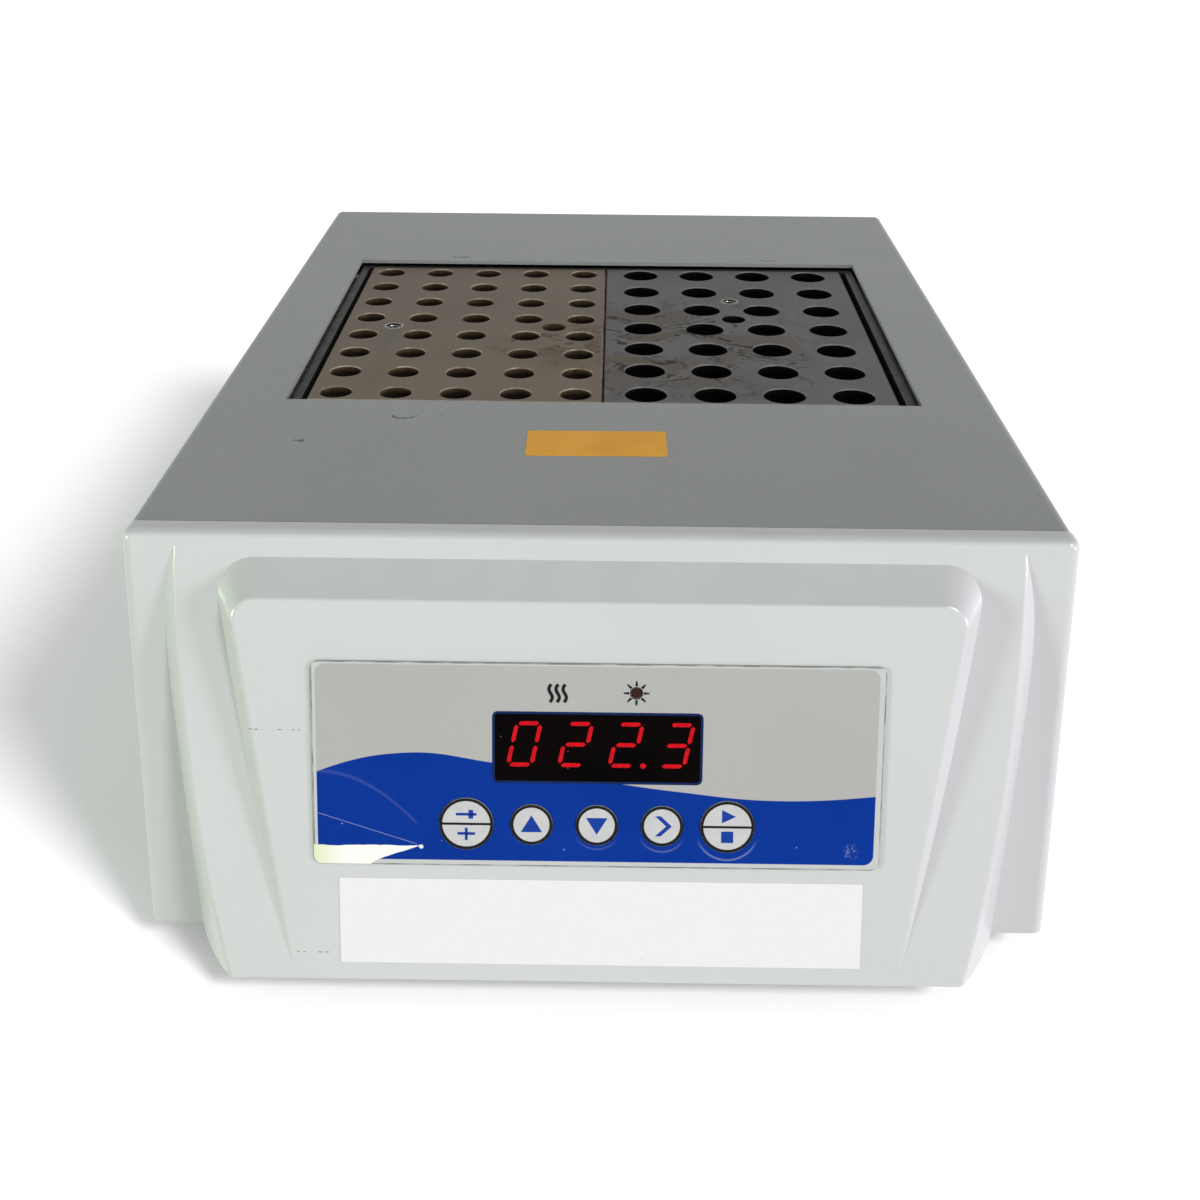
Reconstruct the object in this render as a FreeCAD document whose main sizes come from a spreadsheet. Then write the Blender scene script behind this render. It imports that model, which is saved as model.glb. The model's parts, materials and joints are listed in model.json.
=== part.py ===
import FreeCAD, Part
import os
import re
import Sketcher
from FreeCAD import Placement, Rotation, Vector

# Dry block heater for two lift-out aluminium tube blocks.
# Millimetres, +Z up, front towards -Y, origin on the table under the middle of the whole box.

SIZES = {
    # folded steel casing
    "foot_height": 8.0,
    "body_height": 95.5,
    "cover_width": 205.0,
    "cover_length": 270.0,
    "cover_gauge": 1.2,
    "cover_bend": 2.5,
    "cover_gap": 0.6,
    "seam_gap": 0.3,
    "skirt_clear": 1.5,
    "chassis_gauge": 1.2,
    "chassis_side_gap": 0.4,
    "chassis_top_gap": 0.5,
    "chassis_flange": 14.0,
    "front_frame": 11.0,
    "vent_length": 34.0,
    "vent_width": 3.0,
    "vent_pitch": 8.0,
    "vent_count": 7,
    # moulded front bezel
    "bezel_overlap": 0.5,
    "bezel_wall": 3.0,
    "bezel_top_round": 2.5,
    "ear_top_depth": 5.0,
    "ear_lean": 6.0,
    "ear_round": 2.5,
    "apron_drop": 2.4,
    "apron_lean": 16.56,
    "apron_top_inset": 11.8,
    "apron_crest_inset": 8.0,
    "apron_foot_inset": 11.6,
    "apron_edge_inset": 22.5,
    "apron_swell": 0.045,
    "apron_edge_round": 1.2,
    "boss_radius": 4.0,
    "boss_inset": 8.0,
    "boss_top_room": 15.5,
    "boss_low": 13.0,
    # raised console on the bezel
    "console_lean": 12.5,
    "console_rise": 3.0,
    "console_top_room": 11.5,
    "console_foot_inset": 13.6,
    "console_top_inset": 12.5,
    "console_face_round": 5.0,
    "console_base_round": 9.5,
    "console_edge_round": 1.2,
    "console_foot_draft": 51.0,
    "console_top_draft": 35.0,
    "console_shelf_draft": 50.0,
    "console_depth": 9.0,
    # keypad film, display and keys on the console
    "film_thickness": 0.5,
    "film_margin": 5.6,
    "film_height": 45.9,
    "film_base": 24.0,
    "film_round": 1.9,
    "window_width": 44.6,
    "window_height": 15.6,
    "window_base": 43.3,
    "window_thickness": 1.4,
    "window_gap": 0.1,
    "key_row": 33.6,
    "key_pitch": 14.1,
    "big_key_radius": 5.85,
    "small_key_radius": 4.55,
    "key_thickness": 0.8,
    "key_proud": 0.1,
    "key_gap": 0.15,
    "key_travel": 0.5,
    "key_rest_gap": 0.1,
    "key_stem_radius": 2.0,
    "lamp_row": 63.5,
    "lamp_offset": 8.2,
    "lamp_radius": 1.5,
    "lens_radius": 1.0,
    "lamp_gap": 0.2,
    # display board behind the console
    "board_setback": 10.0,
    "board_thickness": 1.6,
    "display_board_margin": 10.9,
    "display_board_height": 50.0,
    "display_board_base": 21.0,
    "display_inset": 1.2,
    "post_radius": 3.0,
    "post_inset": 5.0,
    "switch_side": 6.0,
    "switch_height": 3.5,
    "plunger_radius": 1.7,
    "plunger_height": 1.5,
    # heater tray and the two lift-out blocks
    "tray_inset": 130.4,
    "tray_wall": 2.4,
    "tray_floor": 10.0,
    "tray_rim_drop": 0.5,
    "block_width": 78.2,
    "block_depth": 124.0,
    "block_height": 50.0,
    "block_drop": 1.5,
    "block_gap": 0.3,
    "block_side_gap": 1.4,
    "block_end_gap": 0.8,
    "block_play": 0.4,
    "block_chamfer": 0.5,
    "small_well_radius": 4.2,
    "small_well_depth": 28.0,
    "small_well_pitch": 16.0,
    "small_well_columns": 5,
    "small_well_rows": 8,
    "large_well_radius": 5.6,
    "large_well_depth": 38.0,
    "large_well_pitch": 18.5,
    "large_well_columns": 4,
    "large_well_rows": 7,
    "well_point_angle": 118.0,
    "well_rim": 0.3,
    "probe_hole_radius": 3.6,
    "probe_hole_depth": 40.0,
    "insert_radius": 3.0,
    "insert_bore": 2.1,
    "insert_length": 12.0,
    "insert_fit": 0.02,
    # heater, sensor, cut-out and insulation under and round the tray
    "heater_width": 136.0,
    "heater_depth": 102.0,
    "heater_thickness": 2.0,
    "clamp_thickness": 1.5,
    "slab_thickness": 16.0,
    "soft_gap": 0.3,
    "jacket_thickness": 10.0,
    "jacket_clear": 4.0,
    "jacket_low": 6.0,
    "jacket_high": 6.0,
    "sensor_radius": 2.0,
    "sensor_fit": 0.05,
    "sensor_depth": 40.0,
    "sensor_tail": 14.0,
    "cutout_radius": 8.0,
    "cutout_can": 4.0,
    "cutout_stem_radius": 6.0,
    "cutout_height": 7.0,
    "cutout_tab_span": 10.0,
    "cutout_tab_width": 6.0,
    "cutout_tab": 0.8,
    "standoff_radius": 4.0,
    "standoff_inset": 7.5,
    # control board, transformer and heat sink on the chassis floor
    "control_width": 150.0,
    "control_depth": 46.0,
    "control_lift": 10.0,
    "control_front_gap": 6.0,
    "relay_width": 20.0,
    "relay_depth": 16.0,
    "relay_height": 15.0,
    "terminal_width": 36.0,
    "terminal_depth": 10.0,
    "terminal_height": 12.0,
    "chip_width": 28.0,
    "chip_depth": 8.0,
    "chip_height": 3.2,
    "tank_radius": 5.0,
    "tank_height": 16.0,
    "ribbon_width": 20.0,
    "ribbon_thickness": 1.0,
    "ribbon_plug": 0.6,
    "core_width": 48.0,
    "core_height": 40.0,
    "core_depth": 20.0,
    "core_leg": 8.0,
    "coil_overhang": 7.0,
    "coil_gap": 0.2,
    "core_gap": 5.0,
    "power_setback": 42.0,
    "sink_width": 44.0,
    "sink_base": 4.0,
    "sink_height": 36.0,
    "sink_fin": 1.6,
    "sink_fin_depth": 18.0,
    "sink_fin_pitch": 7.0,
    "sink_x": 6.0,
    "triac_width": 10.4,
    "triac_thickness": 4.5,
    "triac_height": 15.4,
    # mains inlet, fuse drawer and rocker switch in the rear wall
    "inlet_inset": 40.5,
    "inlet_rise": 34.0,
    "inlet_flange_width": 34.0,
    "inlet_flange_height": 52.0,
    "inlet_flange": 2.4,
    "inlet_round": 2.5,
    "inlet_body_width": 28.0,
    "inlet_body_height": 45.0,
    "inlet_body_depth": 26.0,
    "socket_width": 24.5,
    "socket_height": 16.8,
    "socket_depth": 16.0,
    "socket_rise": 9.0,
    "socket_corner": 4.5,
    "pin_width": 2.0,
    "pin_height": 4.0,
    "pin_length": 13.0,
    "pin_spread": 7.0,
    "pin_offset": 2.0,
    "drawer_width": 22.0,
    "drawer_height": 12.0,
    "drawer_depth": 22.0,
    "drawer_fall": 12.5,
    "drawer_gap": 0.25,
    "drawer_lip": 1.6,
    "fuse_radius": 2.6,
    "fuse_length": 20.0,
    "panel_gap": 0.2,
    "switch_spacing": 38.0,
    "switch_flange": 2.0,
    "switch_frame_width": 15.0,
    "switch_frame_height": 21.0,
    "switch_frame_wall": 1.6,
    "switch_body_depth": 17.0,
    "rocker_tilt": 10.0,
    "rocker_half": 8.0,
    "rocker_gap": 0.35,
    "rocker_mid": 0.6,
    "rocker_pivot": 2.0,
    "rocker_root": 4.0,
    "rocker_pin_radius": 1.0,
    "rocker_pin_reach": 0.9,
    "rocker_pin_fit": 0.05,
    # feet and fasteners
    "foot_radius": 9.0,
    "foot_tip_radius": 8.0,
    "foot_inset": 18.0,
    "screw_radius": 2.0,
    "screw_head_radius": 3.6,
    "screw_head": 2.2,
    "small_screw_radius": 1.3,
    "small_head_radius": 2.6,
    "small_head": 1.6,
    "screw_fit": 0.05,
    "screw_hole_gap": 0.25,
}

# Places worked out from the sizes above.
PLACES = {
    "bezel_width": "cover_width + 2 * bezel_overlap",
    "apron_top_half": "bezel_width / 2 - apron_top_inset",
    "apron_crest_half": "bezel_width / 2 - apron_crest_inset",
    "apron_foot_half": "bezel_width / 2 - apron_foot_inset",
    "apron_edge_half": "bezel_width / 2 - apron_edge_inset",
    "console_foot_half": "apron_edge_half - console_foot_inset",
    "console_top_half": "apron_top_half - console_top_inset",
    "console_height": "(body_height - console_rise - console_top_room) / cos(console_lean)",
    "film_width": "2 * (console_foot_half - film_margin)",
    "display_board_width": "2 * (console_foot_half - display_board_margin)",
    "boss_high": "body_height - boss_top_room",
    "ear_reach": "ear_top_depth + tan(ear_lean) * body_height",
    "apron_top": "body_height - apron_drop",
    "apron_start": "ear_top_depth + tan(ear_lean) * apron_drop",
    "apron_reach": "apron_start + tan(apron_lean) * apron_top",
    "rocker_end": "rocker_mid + rocker_half * tan(rocker_tilt)",
    "rocker_swing": "(rocker_end + rocker_pivot) * cos(rocker_tilt) + rocker_half * sin(rocker_tilt)",
    "rocker_reach": "rocker_swing - rocker_pivot",
    "rear_reach": "switch_flange + rocker_reach",
    "total_length": "apron_reach + cover_length + rear_reach",
    "seam_y": "apron_reach - total_length / 2",
    "rear_y": "seam_y + cover_length",
    "top_z": "foot_height + body_height",
    "floor_z": "foot_height + chassis_gauge",
    "chassis_width": "cover_width - 2 * cover_gauge - 2 * chassis_side_gap",
    "chassis_height": "body_height - cover_gauge - chassis_top_gap",
    "block_top": "top_z - block_drop",
    "block_bottom": "block_top - block_height",
    "tray_bottom": "block_bottom - tray_floor",
    "tray_y": "rear_y - tray_inset",
    "tray_inner_width": "2 * block_width + block_gap + 2 * block_side_gap + block_play",
    "tray_inner_depth": "block_depth + 2 * block_end_gap",
    "tray_width": "tray_inner_width + 2 * tray_wall",
    "tray_depth": "tray_inner_depth + 2 * tray_wall",
    "left_block_x": "block_side_gap + block_width / 2 - tray_inner_width / 2",
    "right_block_x": "left_block_x + block_width + block_gap",
    "heater_bottom": "tray_bottom - heater_thickness",
    "clamp_bottom": "heater_bottom - clamp_thickness",
    "jacket_inner_width": "tray_width + 2 * soft_gap",
    "jacket_inner_depth": "tray_depth + 2 * soft_gap",
    "jacket_width": "cover_width - 2 * cover_gauge - 2 * jacket_clear",
    "jacket_depth": "jacket_inner_depth + 2 * jacket_thickness",
    "standoff_x": "tray_width / 2 - standoff_inset",
    "standoff_y": "tray_depth / 2 - standoff_inset",
    "console_y": "seam_y - apron_reach + tan(apron_lean) * console_rise",
    "console_z": "foot_height + console_rise",
    "key_top": "film_thickness + key_proud",
    "stem_end": "board_setback - switch_height - plunger_height - key_travel - key_rest_gap",
    "control_y": "seam_y + chassis_gauge + control_front_gap + control_depth / 2",
    "inlet_x": "cover_width / 2 - inlet_inset",
    "inlet_z": "floor_z + inlet_rise",
    "switch_x": "inlet_x - switch_spacing",
    "power_x": "sink_x + sink_width / 2 + core_gap + core_width / 2",
    "power_y": "rear_y - chassis_gauge - power_setback",
    "foot_x": "cover_width / 2 - foot_inset",
    "front_foot_y": "seam_y + foot_inset",
    "rear_foot_y": "rear_y - foot_inset",
    "cover_screw_z": "foot_height + chassis_flange / 2",
}

doc = FreeCAD.newDocument("dry_block_heater")


def fill_sheet(name, cells):
    """A sheet with one named cell to a row."""
    sheet = doc.addObject("Spreadsheet::Sheet", name)
    for row, (alias, content) in enumerate(cells.items(), start=1):
        sheet.set("A%d" % row, alias)
        sheet.set("B%d" % row, content)
        sheet.setAlias("B%d" % row, alias)
    return sheet


def formula(text):
    """The expression with each size and place pointed at its sheet."""
    def pointed(match):
        word = match.group()
        if word in SIZES:
            return "Sizes." + word
        if word in PLACES:
            return "Places." + word
        return word
    return re.sub(r"[a-z][a-z_]*", pointed, text)


fill_sheet("Sizes", {alias: str(number) for alias, number in SIZES.items()})
fill_sheet("Places", {alias: "=" + formula(text) for alias, text in PLACES.items()})
doc.recompute()
slate = doc.addObject("Spreadsheet::Sheet", "Slate")
nodes = []


def measure(text):
    """The number that an expression comes to with the present sizes."""
    slate.set("A1", "=" + formula(text))
    slate.recompute()
    return float(slate.get("A1"))


def bind(thing, prop, text):
    thing.setExpression(prop, formula(text))


def place(thing, x="0", y="0", z="0"):
    bind(thing, "Placement.Base.x", x)
    bind(thing, "Placement.Base.y", y)
    bind(thing, "Placement.Base.z", z)
    return thing


def place_on_console(thing):
    """Local x runs right, y up the console's face and z out of it, from where it leaves the apron."""
    thing.Placement = Placement(Vector(), Rotation(Vector(1, 0, 0), 80))
    bind(thing, "Placement.Rotation.Angle", "90 - console_lean")
    return place(thing, y="console_y", z="console_z")


def node(thing, label):
    thing.Label = label
    nodes.append(thing)
    return thing


def settle(feature):
    """Works the feature out and stops at once if it has failed."""
    doc.recompute()
    if "Invalid" in feature.State or feature.Shape.isNull():
        raise RuntimeError("failed feature: " + feature.Name)
    return feature


def new_body(name):
    return doc.addObject("PartDesign::Body", name)


def new_sketch(body, plane, rise="0"):
    sketch = body.newObject("Sketcher::SketchObject", body.Name + "Sketch")
    support = [feature for feature in body.Origin.OriginFeatures if feature.Role == plane][0]
    sketch.AttachmentSupport = [(support, "")]
    sketch.MapMode = "FlatFace"
    bind(sketch, "AttachmentOffset.Base.z", rise)
    return sketch


def fix_point(sketch, geometry, end, x, y):
    """Ties one point of the sketch to its two distances from the origin."""
    for kind, text in (("DistanceX", x), ("DistanceY", y)):
        index = sketch.addConstraint(Sketcher.Constraint(kind, -1, 1, geometry, end, measure(text)))
        bind(sketch, "Constraints[%d]" % index, text)


def add_outline(sketch, corners):
    """A closed line through the corners, each given as two expressions."""
    points = [Vector(measure(x), measure(y), 0) for x, y in corners]
    first = sketch.GeometryCount
    count = len(points)
    for i in range(count):
        sketch.addGeometry(Part.LineSegment(points[i], points[(i + 1) % count]))
    for i in range(count):
        sketch.addConstraint(Sketcher.Constraint("Coincident", first + i, 2, first + (i + 1) % count, 1))
    for i, (x, y) in enumerate(corners):
        fix_point(sketch, first + i, 1, x, y)


def add_curved_outline(sketch, corners, arcs):
    """A closed line anticlockwise through the corners; sides named in arcs bulge out with that radius."""
    points = [Vector(measure(x), measure(y), 0) for x, y in corners]
    for i, start in enumerate(points):
        following = (i + 1) % len(points)
        end = points[following]
        chord = end - start
        if i in arcs:
            radius = measure(arcs[i])
            rise = radius - (radius ** 2 - chord.Length ** 2 / 4) ** 0.5
            crest = (start + end) * 0.5 + Vector(chord.y, -chord.x, 0).normalize() * rise
            index = sketch.addGeometry(Part.Arc(start, crest, end))
            size = sketch.addConstraint(Sketcher.Constraint("Radius", index, radius))
            bind(sketch, "Constraints[%d]" % size, arcs[i])
        else:
            index = sketch.addGeometry(Part.LineSegment(start, end))
        fix_point(sketch, index, 1, *corners[i])
        fix_point(sketch, index, 2, *corners[following])


def add_rectangle(sketch, half_width, low, high):
    low_left, low_right = ("-(%s)" % half_width, low), (half_width, low)
    add_outline(sketch, [low_left, low_right, (half_width, high), ("-(%s)" % half_width, high)])


def add_circle(sketch, x, y, radius):
    centre = Vector(measure(x), measure(y), 0)
    index = sketch.addGeometry(Part.Circle(centre, Vector(0, 0, 1), measure(radius)))
    fix_point(sketch, index, 3, x, y)
    size = sketch.addConstraint(Sketcher.Constraint("Radius", index, measure(radius)))
    bind(sketch, "Constraints[%d]" % size, radius)


def add_feature(kind, sketch, length, side="One side", backwards=False, taper="0"):
    body = sketch.getParentGeoFeatureGroup()
    feature = body.newObject("PartDesign::" + kind, body.Name + kind)
    feature.Profile = sketch
    feature.SideType = side
    feature.Reversed = backwards
    bind(feature, "Length", length)
    bind(feature, "TaperAngle", taper)
    return settle(feature)


def pad(sketch, length, **options):
    return add_feature("Pad", sketch, length, **options)


def pocket(sketch, length, **options):
    """A cut that has to take something away."""
    before = sketch.getParentGeoFeatureGroup().Shape.Volume
    feature = add_feature("Pocket", sketch, length, **options)
    if feature.Shape.Volume > before - 0.01:
        raise RuntimeError("nothing was cut by " + feature.Name)
    return feature


def loft(sections):
    """A solid drawn through the sections in turn."""
    body = sections[0].getParentGeoFeatureGroup()
    doc.recompute()
    solid = body.newObject("PartDesign::AdditiveLoft", body.Name + "Loft")
    solid.Profile = sections[0]
    solid.Sections = sections[1:]
    return settle(solid)


def round_edges(base, radius, wanted, kind="Fillet"):
    """Fillets or chamfers the edges of a body's last feature that pass the test."""
    body = base.getParentGeoFeatureGroup()
    names = ["Edge%d" % (i + 1) for i, edge in enumerate(base.Shape.Edges) if wanted(edge)]
    feature = body.newObject("PartDesign::" + kind, body.Name + kind)
    feature.Base = (base, names)
    bind(feature, "Radius" if kind == "Fillet" else "Size", radius)
    return settle(feature)


def grid(feature, sketch, across, columns, up="0", rows="1"):
    """Repeats a feature along the two axes of its sketch."""
    body = sketch.getParentGeoFeatureGroup()
    pattern = body.newObject("PartDesign::LinearPattern", body.Name + "Grid")
    pattern.Originals = [feature]
    pattern.Direction = (sketch, ["H_Axis"])
    pattern.Direction2 = (sketch, ["V_Axis"])
    bind(pattern, "Occurrences", columns)
    bind(pattern, "Length", "%s * (%s - 1)" % (across, columns))
    bind(pattern, "Occurrences2", rows)
    bind(pattern, "Length2", "%s * (%s - 1)" % (up, rows))
    body.Tip = pattern
    return settle(pattern)


def box(name, width, depth, height, x="0", y="0", z="0"):
    """A block centred on x and y, standing on z."""
    block = doc.addObject("Part::Box", name)
    bind(block, "Length", width)
    bind(block, "Width", depth)
    bind(block, "Height", height)
    return place(block, "%s - (%s) / 2" % (x, width), "%s - (%s) / 2" % (y, depth), z)


def rod(name, radius, length, x="0", y="0", z="0", along=None):
    """A cylinder from the given point, up or along a horizontal direction."""
    cylinder = doc.addObject("Part::Cylinder", name)
    bind(cylinder, "Radius", radius)
    bind(cylinder, "Height", length)
    if along:
        cylinder.Placement = Placement(Vector(), Rotation(Vector(0, 0, 1), Vector(*along)))
    return place(cylinder, x, y, z)


def fused(name, pieces):
    union = doc.addObject("Part::MultiFuse", name)
    union.Shapes = pieces
    return union


def cut(name, base, tools):
    tool = tools[0] if len(tools) == 1 else fused(name + "Tools", tools)
    result = doc.addObject("Part::Cut", name)
    result.Base = base
    result.Tool = tool
    return result


def group(name, pieces):
    """Several separate solids that make up one named piece."""
    together = doc.addObject("Part::Compound", name)
    together.Links = pieces
    return together


def corners_of(x, y_low, y_high):
    return [(side + x, y) for side in ("-", "") for y in (y_low, y_high)]


def lies_along(edge, direction):
    """True for a straight edge in the given direction."""
    if not isinstance(edge.Curve, Part.Line):
        return False
    return abs(abs(edge.tangentAt(edge.FirstParameter).dot(Vector(*direction))) - 1) < 1e-6


def bezel_bosses():
    """Across and height of the four screws that hold the bezel to the chassis."""
    return corners_of("(bezel_width / 2 - boss_inset)", "boss_low", "boss_high")


def display_posts():
    """Across and height on the console of the four screws that hold the display board."""
    half = "(display_board_width / 2 - post_inset)"
    high = "display_board_base + display_board_height - post_inset"
    return corners_of(half, "display_board_base + post_inset", high)


# The top cover is one sheet folded over the sides, with the cut-out that the tray looks through.
def make_top_cover():
    body = new_body("Cover")
    place(body, y="seam_y + seam_gap", z="foot_height")
    sheet = new_sketch(body, "XZ_Plane")
    half, inner = "cover_width / 2", "(cover_width / 2 - cover_gauge)"
    under = "body_height - cover_gauge"
    add_outline(sheet, [("-" + half, "skirt_clear"), ("-" + inner, "skirt_clear"), ("-" + inner, under),
                        (inner, under), (inner, "skirt_clear"), (half, "skirt_clear"),
                        (half, "body_height"), ("-" + half, "body_height")])
    folded = pad(sheet, "cover_length - seam_gap", backwards=True)

    def bend(height):
        return lambda edge: lies_along(edge, (0, 1, 0)) and abs(edge.CenterOfMass.z - measure(height)) < 0.01

    folded = round_edges(folded, "cover_bend", bend("body_height"))
    round_edges(folded, "cover_bend - cover_gauge", bend("body_height - cover_gauge"))
    opening = new_sketch(body, "XY_Plane", "body_height")
    middle = "tray_y - seam_y - seam_gap"
    reach = "(tray_depth / 2 + cover_gap)"
    add_rectangle(opening, "tray_width / 2 + cover_gap", middle + " - " + reach, middle + " + " + reach)
    pocket(opening, "2 * cover_gauge")
    screws = new_sketch(body, "YZ_Plane")
    clearance = "screw_radius + screw_hole_gap"
    for y in ("front_foot_y", "rear_foot_y"):
        add_circle(screws, y + " - seam_y - seam_gap", "cover_screw_z - foot_height", clearance)
    pocket(screws, "cover_width + 2", side="Symmetric")
    node(body, "top_cover")


# The chassis is one sheet folded up at the front and rear, with side flanges for the cover screws.
def make_chassis():
    body = new_body("Chassis")
    place(body, z="foot_height")
    profile = new_sketch(body, "YZ_Plane")
    front, rear = "seam_y + chassis_gauge", "rear_y - chassis_gauge"
    add_outline(profile, [("seam_y", "0"), ("rear_y", "0"), ("rear_y", "chassis_height"),
                          (rear, "chassis_height"), (rear, "chassis_gauge"), (front, "chassis_gauge"),
                          (front, "chassis_height"), ("seam_y", "chassis_height")])
    pad(profile, "chassis_width", side="Symmetric")
    for side in ("-", ""):
        flange = new_sketch(body, "YZ_Plane", side + "(chassis_width / 2)")
        ends = [("seam_y", "0"), ("rear_y", "0"), ("rear_y", "chassis_flange"), ("seam_y", "chassis_flange")]
        add_outline(flange, ends)
        pad(flange, "chassis_gauge", backwards=side == "")
    window = new_sketch(body, "XZ_Plane", "-seam_y")
    lintel = "chassis_height - front_frame"
    add_rectangle(window, "chassis_width / 2 - 2 * front_frame", "front_frame", lintel)
    pocket(window, "4 * chassis_gauge", side="Symmetric")
    panel = new_sketch(body, "XZ_Plane", "-rear_y")
    inlet_half, inlet_tall = "inlet_body_width / 2 + panel_gap", "inlet_body_height / 2 + panel_gap"
    switch_half = "switch_frame_width / 2 - switch_frame_wall / 2 + panel_gap"
    switch_tall = "switch_frame_height / 2 - switch_frame_wall / 2 + panel_gap"
    for x, half, tall in (("inlet_x", inlet_half, inlet_tall), ("switch_x", switch_half, switch_tall)):
        left, right = "%s - (%s)" % (x, half), "%s + %s" % (x, half)
        low, high = "inlet_z - foot_height - (%s)" % tall, "inlet_z - foot_height + %s" % tall
        add_outline(panel, [(left, low), (right, low), (right, high), (left, high)])
    pocket(panel, "4 * chassis_gauge", side="Symmetric")
    holes = new_sketch(body, "XY_Plane")
    for x, y in corners_of("foot_x", "front_foot_y", "rear_foot_y"):
        add_circle(holes, x, y, "screw_radius + screw_fit")
    for x, y in corners_of("standoff_x", "tray_y - standoff_y", "tray_y + standoff_y"):
        add_circle(holes, x, y, "screw_radius + screw_fit")
    pocket(holes, "4 * chassis_gauge", side="Symmetric")
    flange_holes = new_sketch(body, "YZ_Plane")
    for y in ("front_foot_y", "rear_foot_y"):
        add_circle(flange_holes, y, "cover_screw_z - foot_height", "screw_radius + screw_fit")
    pocket(flange_holes, "chassis_width + 2", side="Symmetric")
    bosses = new_sketch(body, "XZ_Plane", "-seam_y")
    for x, z in bezel_bosses():
        add_circle(bosses, x, z, "small_screw_radius + screw_hole_gap")
    pocket(bosses, "4 * chassis_gauge", side="Symmetric")
    vent = new_sketch(body, "XY_Plane")
    first = "-(vent_count - 1) / 2 * vent_pitch"
    ends = ("control_y - vent_length / 2", "control_y + vent_length / 2")
    add_outline(vent, [(first + " + " + dx, y) for dx, y in (("0", ends[0]), ("vent_width", ends[0]),
                                                             ("vent_width", ends[1]), ("0", ends[1]))])
    slot = pocket(vent, "4 * chassis_gauge", side="Symmetric")
    grid(slot, vent, "vent_pitch", "vent_count")
    node(body, "chassis")


# The bezel's face: a leaning plate with a rounded top, and the apron that swells out of it towards the foot.
def make_bezel_face():
    body = new_body("BezelFace")
    place(body, y="seam_y", z="foot_height")
    profile = new_sketch(body, "YZ_Plane")
    add_outline(profile, [("0", "0"), ("-ear_reach", "0"), ("-ear_top_depth", "body_height"),
                          ("0", "body_height")])
    plate = pad(profile, "bezel_width", side="Symmetric")
    top, side = measure("body_height"), measure("bezel_width / 2")

    def brow(edge):
        return lies_along(edge, (1, 0, 0)) and edge.CenterOfMass.z > top - 0.01 and edge.CenterOfMass.y < -0.1

    def flank(edge):
        middle = edge.CenterOfMass
        return abs(abs(middle.x) - side) < 0.01 and middle.y < -0.1 and middle.z > 0.1

    round_edges(round_edges(plate, "bezel_top_round", brow), "ear_round", flank)
    # The apron's side wall runs from a foot on the plate to an edge that draws in towards the bottom.
    sections = []
    for fall in (-0.01, 0.13, 0.35, 0.6, 0.8, 1.0):
        height = "(apron_top * %s)" % (1 - fall)
        plate_y = "(ear_top_depth + tan(ear_lean) * (body_height - %s))" % height
        apron_y = "(apron_start + tan(apron_lean) * (apron_top - %s))" % height
        foot = "(apron_crest_half - (apron_crest_half - apron_foot_half) * %s)" % max(0, (fall - 0.35) / 0.65)
        edge = "(apron_top_half - (apron_top_half - apron_edge_half) * %s)" % max(0, fall) ** 2.3
        if fall < 0:
            foot = "(apron_top_half + bezel_wall / 10)"
        section = new_sketch(body, "XY_Plane", height)
        back, front = "(bezel_wall / 2 - %s)" % plate_y, "-" + apron_y
        chord = "sqrt(pow(%s - %s; 2) + pow(%s - (%s); 2))" % (foot, edge, back, front)
        flank = chord + " * (1 / (8 * apron_swell) + apron_swell / 2)"
        corners = [("-" + edge, front), (edge, front), (foot, back), ("-" + foot, back)]
        add_curved_outline(section, corners, {1: flank, 3: flank})
        sections.append(section)
    apron = loft(sections)
    reach, corner = measure("apron_reach"), measure("apron_edge_half")

    def lip(edge):
        ends = [vertex.Point for vertex in edge.Vertexes]
        low = min(ends, key=lambda point: point.z)
        at_corner = abs(abs(low.x) - corner) < 0.01 and abs(low.y + reach) < 0.01
        return at_corner and max(point.z for point in ends) > 1

    round_edges(apron, "apron_edge_round", lip)
    return body


# The console is a drafted block with rounded shoulders, sunk into the apron at its foot.
# Its sides lean out more at the foot than at the top.
def make_console():
    body = new_body("Console")
    place_on_console(body)
    sections = []
    for depth, shoulder in (("0", "console_face_round"), ("console_depth", "console_base_round")):
        low = "(console_foot_half + %s * tan(console_foot_draft))" % depth
        high = "(console_top_half + %s * tan(console_top_draft))" % depth
        shelf = "(console_height + %s * tan(console_shelf_draft))" % depth
        side = "sqrt(pow(%s - %s; 2) + pow(%s; 2))" % (high, low, shelf)
        flare = "((%s - %s) / %s)" % (high, low, side)
        start = "(%s * sqrt((1 + %s) / (1 - %s)))" % (shoulder, flare, flare)
        side_x = "(%s - %s * %s)" % (high, start, flare)
        side_y = "(%s - %s * %s / %s)" % (shelf, start, shelf, side)
        shelf_x = "(%s - %s)" % (high, start)
        section = new_sketch(body, "XY_Plane", "-" + depth)
        corners = [("-" + low, "0"), (low, "0"), (side_x, side_y), (shelf_x, shelf),
                   ("-" + shelf_x, shelf), ("-" + side_x, side_y)]
        add_curved_outline(section, corners, {2: shoulder, 4: shoulder})
        sections.append(section)
    block = loft(sections)

    def rim(edge):
        return all(abs(vertex.Point.z) < 0.01 for vertex in edge.Vertexes)

    round_edges(block, "console_edge_round", rim)
    return body


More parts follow.
